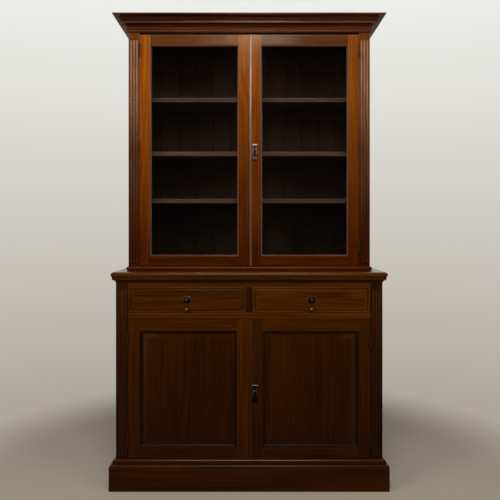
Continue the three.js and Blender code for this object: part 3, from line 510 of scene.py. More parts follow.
def timber(name, foot, head, rub, ring, streak, gloss, coat, shine=0.3, levels=(1.05, 2.2)):
    """A sawn and finished wood. foot and head are (deep, pale) colours at the two levels on the bookcase:
    between them the colour is painted paler towards the top, for the lamps' light that falls more on it there.
    rub is the colour of its worn edges low and high: paler high up, it paints highlights on edges and in
    hollows as well as wear. Wear below zero darkens it, with grime and with painted shade in hollows and under
    lips. Rings are sines of the distance from the pith, a ring apart and bent by slow noise. Streaks are noise
    drawn out along the grain, a streak wide, and pores are finer noise of the same kind, a little coarser than
    real ones so that they show."""
    tree = new_finish(name)
    grain = node(tree, "Attribute", output="Vector", attribute_name="grain")
    wear_and_light_value = node(tree, "Attribute", output="Fac", attribute_name="wear_and_light")
    board_tone = node(tree, "Attribute", output="Fac", attribute_name="tone")
    place = node(tree, "TexCoord", output="Object")
    height = node(tree, "SeparateXYZ", {0: place}, "Z")

    noises = {"smears": node(tree, "TexNoise", {"Vector": place, "Scale": 9.0, "Detail": 3.0})}
    for use, along, across, detail, roughness in (
        ("bends", 0.9, 6, 2.0, 0.5),
        ("streaks", 2.2, 1 / streak, 4.0, 0.65),
        ("tones", 1.6, 7, 2.0, 0.5),
        ("pores", 70, 1100, 1.0, 0.5),
        ("contrast", 2.5, 40, 2.0, 0.5),
        ("patches", 9, 90, 2.0, 0.5),
    ):
        drawn_out = node(tree, "VectorMath", {0: grain, 1: (along, across, across)}, operation="MULTIPLY")
        inputs = {"Vector": drawn_out, "Scale": 1.0, "Detail": detail, "Roughness": roughness}
        noises[use] = node(tree, "TexNoise", inputs)

    value = {}
    for use, source, from_range, to_range in (
        ("bend", noises["bends"], (0, 1), (-0.04, 0.04)),
        ("streaks", noises["streaks"], (0.3, 0.7), (-0.42, 0.42)),
        ("tone", noises["tones"], (0.3, 0.7), (-0.3, 0.3)),
        ("pores", noises["pores"], (0.6, 0.72), (0, 1)),
        ("contrast", noises["contrast"], (0.35, 0.65), (0.02, 0.28)),
        ("patches", noises["patches"], (0.3, 0.6), (0.35, 1)),
        ("matt", noises["smears"], (0.3, 0.7), (gloss - 0.05, gloss + 0.06)),
        ("unrubbed", wear_and_light_value, (-1, 1), (0.06, 0)),
        ("rub", wear_and_light_value, (0, 1), (0, 0.7)),
        ("grime_and_shade", wear_and_light_value, (0, -1), (0, 0.7)),
        # Painted light: between the two levels the colour turns from the foot's to the head's, paler near the
        # top where the lamps light it more, and the rub colour turns paler high up
        ("painted_height_light", height, levels, (0, 1)),
        ("painted_height_sheen", height, (0.4 * levels[0] + 0.6 * levels[1], levels[1]), (0, 1)),
    ):
        limits = dict(zip(("From Min", "From Max", "To Min", "To Max"), (*from_range, *to_range)))
        value[use] = node(tree, "MapRange", {"Value": source, **limits})

    flat = node(tree, "VectorMath", {0: grain, 1: (0, 1, 1)}, operation="MULTIPLY")
    from_pith = node(tree, "VectorMath", {0: flat}, "Value", operation="LENGTH")
    bent = node(tree, "Math", {0: from_pith, 1: value["bend"]}, operation="ADD")
    turn = node(tree, "Math", {0: bent, 1: 2 * math.pi / ring}, operation="MULTIPLY")
    rings = node(tree, "Math", {0: turn}, operation="SINE")
    inputs = {0: rings, 1: value["contrast"], 2: value["streaks"]}
    figure = node(tree, "Math", inputs, operation="MULTIPLY_ADD")
    toned = node(tree, "Math", {0: figure, 1: value["tone"]}, operation="ADD")
    pale = node(tree, "Math", {0: toned, 1: 0.5}, operation="ADD")

    low = node(tree, "Mix", {0: pale, 6: linear(foot[0]), 7: linear(foot[1])}, 2, data_type="RGBA")
    high = node(tree, "Mix", {0: pale, 6: linear(head[0]), 7: linear(head[1])}, 2, data_type="RGBA")
    colour = node(tree, "Mix", {0: value["painted_height_light"], 6: low, 7: high}, 2, data_type="RGBA")
    colour = node(tree, "VectorMath", {0: colour, "Scale": board_tone}, operation="SCALE")
    open_pores = node(tree, "Math", {0: value["pores"], 1: 0.45}, operation="MULTIPLY")
    inputs = {0: open_pores, 6: colour, 7: PORE_SHADE}
    colour = node(tree, "Mix", inputs, 2, data_type="RGBA", blend_type="MULTIPLY")
    # Worn edges take the rub colour, which also paints highlights on edges and in hollows
    rubbed_and_lit = node(tree, "Math", {0: value["rub"], 1: value["patches"]}, operation="MULTIPLY")
    inputs = {0: value["painted_height_sheen"], 6: linear(rub[0]), 7: linear(rub[1])}
    rubbed_and_sheen_colour = node(tree, "Mix", inputs, 2, data_type="RGBA")
    colour = node(tree, "Mix", {0: rubbed_and_lit, 6: colour, 7: rubbed_and_sheen_colour}, 2, data_type="RGBA")
    # Wear below zero darkens the colour: grime, and painted shade in hollows and under lips
    inputs = {0: value["grime_and_shade"], 6: colour, 7: GRIME_AND_PAINTED_SHADE}
    colour = node(tree, "Mix", inputs, 2, data_type="RGBA", blend_type="MULTIPLY")

    matt = node(tree, "Math", {0: value["matt"], 1: value["unrubbed"]}, operation="ADD")
    pitted = node(tree, "Math", {0: value["pores"], 1: 0.15}, operation="MULTIPLY")
    rough = node(tree, "Math", {0: matt, 1: pitted}, operation="ADD")
    raised = node(tree, "Math", {0: noises["streaks"], 1: 0.35}, operation="MULTIPLY")
    relief = node(tree, "Math", {0: raised, 1: value["pores"]}, operation="SUBTRACT")
    inputs = {
        "Base Color": colour,
        "Roughness": rough,
        "IOR": 1.5,
        "Specular IOR Level": shine,
        "Specular Tint": linear("#ffe4c8"),
        "Coat Weight": coat,
        "Coat Roughness": 0.12,
        "Normal": node(tree, "Bump", {"Strength": 0.35, "Distance": 0.0002, "Height": relief}),
    }
    node(tree, "OutputMaterial", {"Surface": node(tree, "BsdfPrincipled", inputs)})


def metal(name, dark, bright, roughness, speck):
    """A cast or rolled metal. Its dark skin, mottled in specks of the given size, has worn through to the
    bright metal on its edges, which are rougher for it. Where wear is high the bright metal is also a painted
    highlight."""
    tree = new_finish(name)
    place = node(tree, "TexCoord", output="Object")
    wear_and_light_value = node(tree, "Attribute", output="Fac", attribute_name="wear_and_light")
    mottle = node(tree, "TexNoise", {"Vector": place, "Scale": 1 / speck, "Detail": 4.0})
    pits = node(tree, "TexNoise", {"Vector": place, "Scale": 5 / speck, "Detail": 2.0})
    edge = node(tree, "MapRange", {"Value": wear_and_light_value, "From Min": 0.3, "From Max": 1.0})
    spots = node(tree, "MapRange", {"Value": mottle, "From Min": 0.52, "From Max": 0.66})
    rubbed_and_lit = node(tree, "Math", {0: edge, 1: 0.75}, operation="MULTIPLY")
    share = node(tree, "Math", {0: spots, 1: 0.3, 2: rubbed_and_lit}, operation="MULTIPLY_ADD")
    limits = {"From Min": 0.3, "From Max": 0.7, "To Min": roughness + 0.1, "To Max": roughness - 0.08}
    skin = node(tree, "MapRange", {"Value": mottle, **limits})
    inputs = {
        "Base Color": node(tree, "Mix", {0: share, 6: linear(dark), 7: linear(bright)}, 2, data_type="RGBA"),
        "Metallic": 1.0,
        "Roughness": node(tree, "Math", {0: edge, 1: 0.22, 2: skin}, operation="MULTIPLY_ADD"),
        "Normal": node(tree, "Bump", {"Strength": 0.25, "Distance": 0.0003, "Height": pits}),
    }
    node(tree, "OutputMaterial", {"Surface": node(tree, "BsdfPrincipled", inputs)})


def window_glass(name):
    """Old drawn window glass: clear soda-lime glass with a faint green cast, slow ripples from the drawing and
    a little dust. Lamps shine through it into the case."""
    tree = new_finish(name)
    place = node(tree, "TexCoord", output="Object")
    drawn_up = node(tree, "Mapping", {"Vector": place, "Scale": (9.0, 9.0, 3.0)})
    ripple = node(tree, "TexNoise", {"Vector": drawn_up, "Scale": 1.0, "Detail": 1.0})
    inputs = {
        "Base Color": mottled(tree, 14.0, 4.0, linear("#eceeec"), linear("#f5f6f4")),
        "Roughness": 0.0,
        "IOR": 1.5,
        "Transmission Weight": 1.0,
        "Normal": node(tree, "Bump", {"Strength": 0.1, "Distance": 0.001, "Height": ripple}),
    }
    glass = node(tree, "BsdfPrincipled", inputs)
    clear = node(tree, "BsdfTransparent", {"Color": linear("#ecefed")})
    shadow = node(tree, "LightPath", output="Is Shadow Ray")
    node(tree, "OutputMaterial", {"Surface": node(tree, "MixShader", {0: shadow, 1: glass, 2: clear})})


def painted_keyhole_shade(name):
    """A near-black patch behind a keyhole that paints the shade inside the lock, faintly mottled."""
    tree = new_finish(name)
    grime_and_shade = mottled(tree, 900.0, 2.0, linear("#050403"), linear("#15110e"))
    shader = node(tree, "BsdfPrincipled", {"Base Color": grime_and_shade, "Roughness": 0.8})
    node(tree, "OutputMaterial", {"Surface": shader})


def floor_paint(name, colour):
    """Matt floor paint, faintly uneven, that fades out towards the rim of the floor."""
    tree = new_finish(name)
    inputs = {"Base Color": mottled(tree, 3.0, 4.0, colour, linear("#b8b1a6")), "Roughness": 0.75}
    paint = node(tree, "BsdfPrincipled", inputs)
    place = node(tree, "TexCoord", output="Object")
    far = node(tree, "VectorMath", {0: place}, "Value", operation="LENGTH")
    inputs = {"Value": far, "From Min": 1.15, "From Max": 1.9}
    rim = node(tree, "MapRange", inputs, interpolation_type="SMOOTHSTEP")
    inputs = {0: rim, 1: paint, 2: node(tree, "BsdfTransparent")}
    node(tree, "OutputMaterial", {"Surface": node(tree, "MixShader", inputs)})


def black_cloth(name):
    """Black studio cloth, woven and matt. A ray that comes straight from the camera doesn't meet it."""
    tree = new_finish(name)
    weave = mottled(tree, 40.0, 2.0, linear("#0c0b0b"), linear("#1a1817"))
    cloth = node(tree, "BsdfPrincipled", {"Base Color": weave, "Roughness": 1.0})
    inputs = {0: seen_directly(tree), 1: cloth, 2: node(tree, "BsdfTransparent")}
    node(tree, "OutputMaterial", {"Surface": node(tree, "MixShader", inputs)})


FINISHES = {
    # French-polished mahogany: warm and reddish, with a soft shine, and painted paler towards the top, where
    # the lamps light it more
    "polished_mahogany": (timber, dict(
        foot=("#3f1500", "#5d2902"), head=("#743604", "#9d590f"), rub=("#401c0b", "#b08c7a"),
        ring=0.011, streak=0.007, gloss=0.14, coat=0.05, levels=(1.15, 1.95),
    )),
    # Mahogany of the beads and sight mouldings, worn by hands and dusters, and painted pale grey for the sheen
    # of light along them, most of all high up
    "handled_mahogany": (timber, dict(
        foot=("#50301f", "#6a4838"), head=("#74503c", "#96705a"), rub=("#6a4a3c", "#c8aa98"),
        ring=0.011, streak=0.005, gloss=0.24, coat=0.0, levels=(1.15, 1.95),
    )),
    # Polished mahogany of the cornice, which looks down: painted darker than the doors for the shade that it
    # stands in. Its worn edges are pale grey, for dust and for painted highlights along the fillets
    "shaded_mahogany": (timber, dict(
        foot=("#371709", "#63331d"), head=("#371709", "#63331d"), rub=("#84695a", "#84695a"),
        ring=0.011, streak=0.007, gloss=0.16, coat=0.03, shine=0.25,
    )),
    # The same polish under years of wax: nearly black brown, and painted redder higher up, where more light
    # falls
    "waxed_dark_mahogany": (timber, dict(
        foot=("#250f02", "#3a1b03"), head=("#321702", "#4e2804"), rub=("#3c1f0e", "#5c3a20"),
        ring=0.012, streak=0.007, gloss=0.16, coat=0.03, shine=0.2, levels=(0.1, 1.0),
    )),
    # Pine stained dark inside the cases, with no polish: dull, and painted lighter towards the top, where more
    # light reaches in
    "stained_pine": (timber, dict(
        foot=("#120a06", "#1e120c"), head=("#261a14", "#3c2a22"), rub=("#1f140e", "#372820"),
        ring=0.009, streak=0.006, gloss=0.62, coat=0.0, shine=0.08,
    )),
    # Stained pine of the shelves, painted paler than the rest of the inside for the light that falls on their
    # fronts
    "rubbed_stained_pine": (timber, dict(
        foot=("#2f1f17", "#4b3529"), head=("#2f1f17", "#4b3529"), rub=("#54402f", "#54402f"),
        ring=0.009, streak=0.006, gloss=0.5, coat=0.0,
    )),
    # Plain planed oak, dry and pale brown
    "oak_drawer_lining": (timber, dict(
        foot=("#6a4c2e", "#96754c"), head=("#6a4c2e", "#96754c"), rub=("#a08560", "#a08560"),
        ring=0.006, streak=0.004, gloss=0.6, coat=0.0,
    )),
    # Cast brass gone dark brown with age, bright where fingers rub it and where highlights are painted on it
    "darkened_cast_brass": (metal, dict(dark="#1c1215", bright="#e8cdbe", roughness=0.34, speck=0.003)),
    # Drawn brass, waxed over with the doors until it is dull and nearly black
    "waxed_hinge_brass": (metal, dict(dark="#1a1009", bright="#5a4028", roughness=0.45, speck=0.004)),
    # Pressed steel, dulled to grey brown
    "dulled_lock_steel": (metal, dict(dark="#3c3834", bright="#8d8880", roughness=0.5, speck=0.005)),
    "drawn_glass": (window_glass, {}),
    "keyhole_dark": (painted_keyhole_shade, {}),
}
POLISHED, HANDLED_SHEEN, WAXED = "polished_mahogany", "handled_mahogany", "waxed_dark_mahogany"
STAINED, BRASS = "stained_pine", "darkened_cast_brass"


def finish(name):
    """The material of that name, made the first time that a piece asks for it."""
    if name not in bpy.data.materials:
        maker, settings = FINISHES[name]
        maker(name, **settings)
    return bpy.data.materials[name]


# Paths


def round_case(half_width, front, z):
    """The path of a moulding up one side of a case, across its front and back down the other side."""
    base = [(-half_width, BACK, z), (-half_width, front, z), (half_width, front, z), (half_width, BACK, z)]
    outward = [(-1, 0, 0), (-1, -1, 0), (1, -1, 0), (1, 0, 0)]
    return base, outward, (0, 0, 1)


def round_opening(x0, x1, z0, z1, face_y):
    """The path round a rectangle in an upright face: out is away from the rectangle, up is into the face."""
    base = [(x0, face_y, z0), (x1, face_y, z0), (x1, face_y, z1), (x0, face_y, z1)]
    outward = [(-1, 0, -1), (1, 0, -1), (1, 0, 1), (-1, 0, 1)]
    return base, outward, (0, 1, 0)


class BookcaseSizes(bpy.types.PropertyGroup):
    """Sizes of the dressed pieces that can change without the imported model."""

    ease: bpy.props.FloatProperty(
        name="Edge ease", description="Radius that sandpaper left on the boards' edges",
        default=0.0009, unit="LENGTH",
    )
    joint_ease: bpy.props.FloatProperty(
        name="Joint ease", description="Radius beside the glued joints of a frame",
        default=0.0004, unit="LENGTH",
    )
    flute_width: bpy.props.FloatProperty(
        name="Flute width", description="Width of one flute in a pilaster",
        default=0.0095, unit="LENGTH",
    )
    flute_depth: bpy.props.FloatProperty(
        name="Flute depth", description="Depth of one flute in a pilaster",
        default=0.0035, unit="LENGTH",
    )
    flute_pitch: bpy.props.FloatProperty(
        name="Flute pitch", description="Distance between the middles of two flutes",
        default=0.014, unit="LENGTH",
    )
    sight_moulding: bpy.props.FloatProperty(
        name="Sight moulding", description="Width of the moulding round each pane",
        default=0.007, unit="LENGTH",
    )
    panel_moulding: bpy.props.FloatProperty(
        name="Panel moulding", description="Width of the moulding round each panel",
        default=0.014, unit="LENGTH",
    )
    panel_bevel: bpy.props.FloatProperty(
        name="Panel bevel", description="Width of the sunk margin of a raised panel",
        default=0.02, unit="LENGTH",
    )


class StudioSettings(bpy.types.PropertyGroup):
    """The floor, background and lamps."""

    key_power: bpy.props.FloatProperty(
        name="Key lamp", description="Power of the large lamp above and in front",
        default=105.0, unit="POWER",
    )
    side_power: bpy.props.FloatProperty(
        name="Side lamps", description="Power of the left lamp; the right one has three quarters of it",
        default=38.0, unit="POWER",
    )
    strip_power: bpy.props.FloatProperty(
        name="Strip lamp", description="Power of the narrow lamp that the top rails mirror",
        default=6.5, unit="POWER",
    )
    ambient: bpy.props.FloatProperty(
        name="Ambient", description="Strength of the light from all round", default=0.13,
    )
    mirrored: bpy.props.FloatProperty(
        name="Mirrored", description="Strength of the background in front as polish and metal mirror it",
        default=0.5,
    )
    wall_high: bpy.props.FloatVectorProperty(
        name="Background above", description="Colour of the background high up",
        default=linear("#efefeb"), subtype="COLOR", size=4,
    )
    wall_low: bpy.props.FloatVectorProperty(
        name="Background below", description="Colour of the background near the floor",
        default=linear("#afa79b"), subtype="COLOR", size=4,
    )
    floor_colour: bpy.props.FloatVectorProperty(
        name="Floor", description="Colour of the painted studio floor",
        default=linear("#b3aba0"), subtype="COLOR", size=4,
    )


class BOOKCASE_OT_studio(bpy.types.Operator):
    """Lays the floor, hangs the lamps, paints the background and sets the camera."""

    bl_idname = "bookcase.studio"
    bl_label = "Studio"

    def execute(self, context):
        settings = context.scene.bookcase_studio
        self.floor(settings)
        self.background(context, settings)
        self.lamp("key_lamp", (0, -3.3, 4.25), (0, -0.1, 0.9), (2.2, 1.2), settings.key_power)
        self.lamp("left_lamp", (-2.6, -2.6, 2.4), (0, 0, 1.0), (1.4, 1.8), settings.side_power)
        self.lamp("right_lamp", (2.6, -2.6, 2.4), (0, 0, 1.0), (1.4, 1.8), 0.75 * settings.side_power)
        self.lamp("strip_lamp", (0.08, -3.3, 3.25), (0, -0.1, 2.1), (0.7, 0.22), settings.strip_power)
        self.flag()
        self.camera(context)
        context.scene.view_settings.view_transform = "Standard"
        return {"FINISHED"}

    def camera(self, context):
        """Straight in front of the bookcase, looking level. The lens is in millimetres."""
        camera = bpy.data.cameras.new("front_camera")
        camera.sensor_width = 36
        camera.lens = 43.7
        camera.shift_x, camera.shift_y = 0.0016, -0.046
        view = bpy.data.objects.new("front_camera", camera)
        view.location = (0, -3.0825, 1.244)
        view.rotation_euler = (math.pi / 2, 0, 0)
        context.scene.collection.objects.link(view)
        context.scene.camera = view

    def staged(self, name, points, faces, material):
        """A flat thing of the studio, which isn't part of the bookcase."""
        mesh = bpy.data.meshes.new(name)
        mesh.from_pydata(points, [], faces)
        mesh.materials.append(material)
        made = bpy.data.objects.new(name, mesh)
        bpy.context.scene.collection.objects.link(made)
        return made

    def floor(self, settings):
        """A round painted floor of 2 m whose rim fades into the background. The polish doesn't mirror it."""
        floor_paint("painted_floor", settings.floor_colour)
        radius, sides = 2, 96
        angle = np.linspace(0, 2 * math.pi, sides, endpoint=False)
        rim = np.column_stack([radius * np.cos(angle), radius * np.sin(angle), np.zeros(sides)])
        floor = self.staged("floor", rim.tolist(), [list(range(sides))], bpy.data.materials["painted_floor"])
        floor.visible_glossy = False

    def background(self, context, settings):
        """A pale wall behind everything, seen directly and through glass, that polish mirrors in full. The
        light that falls on the bookcase from all round, and what it mirrors of the front, is weaker."""
        world = bpy.data.worlds.new("studio")
        context.scene.world = world
        world.use_nodes = True
        tree = world.node_tree
        tree.nodes.clear()
        way = node(tree, "SeparateXYZ", {0: node(tree, "TexCoord", output="Generated")}).node.outputs
        height = node(tree, "MapRange", {"Value": way["Z"], "From Min": -0.26, "From Max": 0.36})
        inputs = {0: height, 6: settings.wall_low, 7: settings.wall_high}
        wall = node(tree, "Mix", inputs, 2, data_type="RGBA")
        limits = {"From Min": 0.2, "From Max": 0.7, "To Min": settings.mirrored, "To Max": 1.0}
        strength = node(tree, "MapRange", {"Value": way["Y"], **limits})
        seen = node(tree, "Background", {"Color": wall, "Strength": 1.0})
        around = node(tree, "Background", {"Color": linear("#fffaf2"), "Strength": settings.ambient})
        mirrored_wall = node(tree, "Background", {"Color": wall, "Strength": strength})
        glossy = node(tree, "LightPath", output="Is Glossy Ray")
        unseen = node(tree, "MixShader", {0: glossy, 1: around, 2: mirrored_wall})
        surface = node(tree, "MixShader", {0: seen_directly(tree), 1: unseen, 2: seen})
        node(tree, "OutputWorld", {"Surface": surface})

    def lamp(self, name, place, target, size, power):
        """A soft rectangular lamp that points from its place to a target."""
        light = bpy.data.lights.new(name, "AREA")
        light.shape = "RECTANGLE"
        light.size, light.size_y = size
        light.energy = power
        light.color = linear("#fff4e6")[:3]
        made = bpy.data.objects.new(name, light)
        made.location = place
        away = np.array(place, float) - np.array(target, float)
        turn = math.atan2(away[0], -away[1])
        tilt = math.atan2(math.hypot(away[0], away[1]), away[2])
        made.rotation_euler = (tilt, 0, turn)
        bpy.context.scene.collection.objects.link(made)

    def flag(self):
        """A black cloth behind the camera that keeps the bright background out of the panes and polish. Only
        reflections meet it."""
        black_cloth("black_cloth")
        half, away, foot, head = 2.4, -4.6, -3, 4.6
        corners = [(-half, away, foot), (half, away, foot), (half, away, head), (-half, away, head)]
        flag = self.staged("flag", corners, [(0, 3, 2, 1)], bpy.data.materials["black_cloth"])
        flag.visible_camera = False
        flag.visible_diffuse = False
        flag.visible_shadow = False


class BOOKCASE_OT_mouldings(bpy.types.Operator):
    """Runs the plinth, its moulding, the lower top's edge, the base moulding and the cornice."""

    bl_idname = "bookcase.mouldings"
    bl_label = "Plinth, top and cornice"

    def execute(self, context):
        ease = context.scene.bookcase_sizes.ease
        sides = (Y, X, Y)
        out, height = 0.028, 0.108
        plinth = [(0, 0), (out, 0), (out, height - ease), (out - ease, height), (0, height)]
        shape = carried(plinth, *round_case(LOWER_HALF, LOWER_FRONT, 0), sides)
        piece("plinth_boards", shape, WAXED, "case", "lower_wood", ["plinth"], 1.12)
        ogee_height = 0.038
        ogee = np.vstack([traced(PLINTH_MOULDING_ROWS, out, ogee_height), [(0, ogee_height), (0, 0)]])
        shape = carried(ogee, *round_case(LOWER_HALF, LOWER_FRONT, height), sides, band=MM)
        piece("plinth_ogee", shape, WAXED, "case", "lower_wood", ["plinth_moulding"])
        self.cupboard_top()
        base_height = 0.02
        base = np.vstack([traced(BASE_MOULDING_ROWS, 0.009, base_height), [(0, base_height), (0, 0)]])
        shape = carried(base, *round_case(UPPER_HALF, UPPER_FRONT, UPPER_BASE_Z), sides, band=MM)
        shape = rewear_and_relight(shape, lambda points, wear_and_light: 0.4 * wear_and_light)
        piece("base_bead", shape, POLISHED, "case", "upper_wood", ["upper_base_moulding"], 0.75)
        self.cornice(sides)
        return {"FINISHED"}

    def cupboard_top(self):
        """The lower top is one board with its moulding run on three edges and the back. Its lip laps the
        case."""
        edge = traced(LOWER_TOP_ROWS, 0.021, LOWER_TOP_HEIGHT)
        path = round_case(LOWER_HALF, LOWER_FRONT, LOWER_TOP_Z)
        top = carried(edge, *path, (X,), ring=True, closed=False, field=X, band=MM)
        # Painted shade under the lip and in the quirk above the frieze; the thumb above keeps its highlight
        top = painted_shade_by_level(top, LOWER_TOP_Z, LOWER_TOP_HEIGHT, LOWER_TOP_PAINTED_SHADE)
        piece("cupboard_top", top, WAXED, "case", "lower_wood", ["lower_top"], 1.15)

    def cornice(self, sides):
        """The cornice laps the upper case and stands over its top, hollow behind."""
        crown = traced(CORNICE_ROWS, 0.066, CORNICE_HEIGHT)
        lap, wall = UPPER_CASE_TOP_Z - CORNICE_Z, -0.022
        inner = [(wall, CORNICE_HEIGHT), (wall, lap), (0, lap), (0, 0)]
        path = round_case(UPPER_HALF, UPPER_FRONT, CORNICE_Z)
        shape = carried(np.vstack([crown, inner]), *path, sides, band=MM)
        # Painted shade in the hollows and under the soffit; the fillets and the top keep their pale edges,
        # painted highlights and dust
        shape = painted_shade_by_level(shape, CORNICE_Z, CORNICE_HEIGHT, CORNICE_PAINTED_SHADE)
        piece("crown_moulding", shape, "shaded_mahogany", "case", "upper_wood", ["cornice"])


class BOOKCASE_OT_case_boards(bpy.types.Operator):
    """Cuts the sides with their bearers, the rails, the muntin, the shelves and the back boards."""

    bl_idname = "bookcase.case_boards"
    bl_label = "Case boards"

    def execute(self, context):
        ease = context.scene.bookcase_sizes.ease
        self.sides(ease)
        self.bearers(ease)
        shelf = 2 * ease, "rubbed_stained_pine", "inner_wood"
        rail = ease, WAXED, "lower_wood"
        for name, node_name, along, (board_ease, wood, slot), tone in (
            ("rail_under_drawers", "drawer_rail", X, rail, 1.5),
            ("rail_over_drawers", "frieze_rail", X, rail, 1.15),
            ("muntin_between_drawers", "drawer_muntin", Z, rail, 0.45),
            ("shelf_low", "low_shelf", X, shelf, 0.7),
            ("shelf_middle", "middle_shelf", X, shelf, 0.9),
            ("shelf_high", "high_shelf", X, shelf, 0.42),
            ("shelf_in_cupboard", "cupboard_shelf", X, shelf, 0.9),
        ):
            board = eased_board(*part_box(node_name), along, board_ease)
            piece(name, board, wood, "case", slot, [node_name], tone)
        self.backs("lower_back_boards", "back_of_cupboard")
        self.backs("upper_back_boards", "back_of_shelves")
        self.cross_boards()
        return {"FINISHED"}

    def sides(self, ease):
        """Each side is one board from the back to the pilaster."""
        for name, node_name, half, wood, slot in (
            ("cupboard_SIDE_board", "lower_SIDE_side", LOWER_HALF, WAXED, "lower_wood"),
            ("upper_SIDE_board", "upper_SIDE_side", UPPER_HALF, POLISHED, "upper_wood"),
        ):
            low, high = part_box(node_name.replace("SIDE", "right"))
            board = eased_board((half - BOARD, low[1], low[2]), high, Z, ease)
            both_sides(name, board, wood, "case", slot, [node_name])

    def bearers(self, ease):
        """A batten under each end of each shelf, glued to the side board."""
        width, height, from_front = 0.012, 0.018, 0.014
        for shelf, half, name in (
            ("cupboard_shelf", LOWER_HALF, "cupboard"),
            ("low_shelf", UPPER_HALF, "low"),
            ("middle_shelf", UPPER_HALF, "middle"),
            ("high_shelf", UPPER_HALF, "high"),
        ):
            inner = half - BOARD
            low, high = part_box(shelf)
            start = inner - width, low[1] + from_front, low[2] - height
            bearer = eased_board(start, (inner, high[1] - width, low[2]), Y, ease)
            both_sides(f"{name}_SIDE_bearer", bearer, STAINED, "case", "inner_wood")

    def door_stop(self, half, front, z):
        """A strip across a case that a pair of doors closes against."""
        width, gap = 0.012, 0.0003
        y = front + MM + DOOR_THICKNESS + gap
        return eased_board((-half, y, z), (half, y + width, z + width), X, 0.0005)

    def cross_boards(self):
        """Floors and tops fill the case behind the pilasters and reach forward between them, the upper top
        stopping short behind the gap over the doors. A strip glued across each stops the doors. The dust
        board carries the drawers between its guides."""
        lower = LOWER_OPENING, LOWER_HALF - BOARD, LOWER_FRONT
        upper = UPPER_OPENING, UPPER_HALF - BOARD, UPPER_FRONT
        back = BACK - BACK_BOARD
        for name, node_name, (opening, inner, front), z0, z1, stop_z, shadow_gap, slot in (
            ("cupboard_floor", "lower_floor_board", lower, 0.124, 0.146, 0.146, 0.0, "inner_wood"),
            ("shelves_floor", "upper_floor_board", upper, 1.031, 1.052, 1.052, 0.0, "inner_wood"),
            ("case_top", "upper_top_board", upper, 2.191, 2.213, 2.179, 0.015, "upper_wood"),
        ):
            right_half = [(opening, front + shadow_gap), (opening, front + BOARD), (inner, front + BOARD)]
            outline = [(-opening, front + shadow_gap), *right_half, (inner, back), (-inner, back)]
            outline += [(-inner, front + BOARD), (-opening, front + BOARD)]
            shapes = [prism(outline, Z, z0, z1, X), self.door_stop(opening, front, stop_z)]
            piece(name, together(shapes), STAINED, "case", slot, [node_name])
        half, inner, front = LOWER_OPENING, LOWER_HALF - BOARD, LOWER_FRONT + BOARD
        dust_z, guide_z, guide_top, muntin_half = 0.822, 0.837, 0.862, 0.016
        boards = [eased_board((-inner, front, dust_z), (inner, back, guide_z), X, 0.0005)]
        for left, right in ((-inner, -half), (-muntin_half, muntin_half), (half, inner)):
            boards.append(eased_board((left, front, guide_z), (right, back, guide_top), Y, 0.0008))
        boards += [self.door_stop(half, LOWER_FRONT, z) for z in (0.798, 0.81)]
        piece("drawer_runners", together(boards), STAINED, "case", "inner_wood", ["dust_board"])

    def backs(self, node_name, name):
        """Upright boards side by side, each lapped behind the next so that no light comes through, with the
        front corners planed off so that a V shows at each joint."""
        low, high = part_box(node_name)
        width, cut, gap, lap = 0.096, 0.003, 0.0002, 0.006
        count = round((high[0] - low[0]) / width)
        lines = np.linspace(low[0], high[0] - lap, count + 1)
        middle = (low[1] + high[1]) / 2
        boards = []
        for left, right in zip(lines[:-1], lines[1:] - gap):
            outline = [
                (left + lap, high[1]),
                (left + lap, middle + gap),
                (left, middle + gap),
                (left, low[1] + cut),
                (left + cut, low[1]),
                (right - cut, low[1]),
                (right, low[1] + cut),
                (right, middle),
                (right + lap, middle),
                (right + lap, high[1]),
            ]
            boards.append(prism(outline, Z, low[2], high[2], Z))
        piece(name, together(boards), STAINED, "case", "inner_wood", [node_name])


class BOOKCASE_OT_pilasters(bpy.types.Operator):
    """Cuts the four fluted pilasters."""

    bl_idname = "bookcase.pilasters"
    bl_label = "Fluted pilasters"

    def execute(self, context):
        sizes = context.scene.bookcase_sizes
        lower = LOWER_OPENING, LOWER_HALF, LOWER_FRONT, 0, LOWER_TOP_Z
        upper = UPPER_OPENING, UPPER_HALF, UPPER_FRONT, UPPER_BASE_Z, UPPER_CASE_TOP_Z
        for case, (opening, half, front, z0, z1), flute_foot, flute_head, wood, rub, tone in (
            ("lower", lower, 0.162, 0.95, WAXED, 0.6, 0.5),
            ("upper", upper, 1.075, 2.165, POLISHED, 0.9, 0.47),
        ):
            middle = (opening + half) / 2
            board = fluted_board(
                (opening, front, z0),
                (half, front + BOARD, z1),
                flute_foot,
                flute_head,
                [middle + step * sizes.flute_pitch for step in (-1, 0, 1)],
                sizes.flute_width,
                sizes.flute_depth,
                sizes.ease,
                rub,
            )
            nodes = [f"{case}_SIDE_pilaster"]
            both_sides(f"{case}_SIDE_flutes", board, wood, "case", f"{case}_wood", nodes, tone)
        return {"FINISHED"}


def door_frame(case, side, door, sight, width, wood, tones, ease):
    """The glued stiles and rails of a door, from its lowest to its highest corner, round the place that its
    moulding of a given width leaves open in sight. Their edges take a quarter of the usual wear and painted
    highlight."""
    (x0, face, z0), (x1, back, z1) = door
    left, right, foot, head = sight[0] - width, sight[1] + width, sight[2] - width, sight[3] + width
    nodes = [f"{case}_{side}_door_frame"]
    for part, low, high, along in (
        ("hinge_stile", (right, face, z0), (x1, back, z1), Z),
        ("meeting_stile", (x0, face, z0), (left, back, z1), Z),
        ("top_rail", (left, face, head), (right, back, z1), X),
        ("bottom_rail", (left, face, z0), (right, back, foot), X),
    ):
        board = rewear_and_relight(eased_board(low, high, along, ease), lambda points, wear_and_light: 0.25 * wear_and_light)
        door_piece(case, side, part, board, wood, nodes, tones.get((side, part), 1.0))
        nodes = []


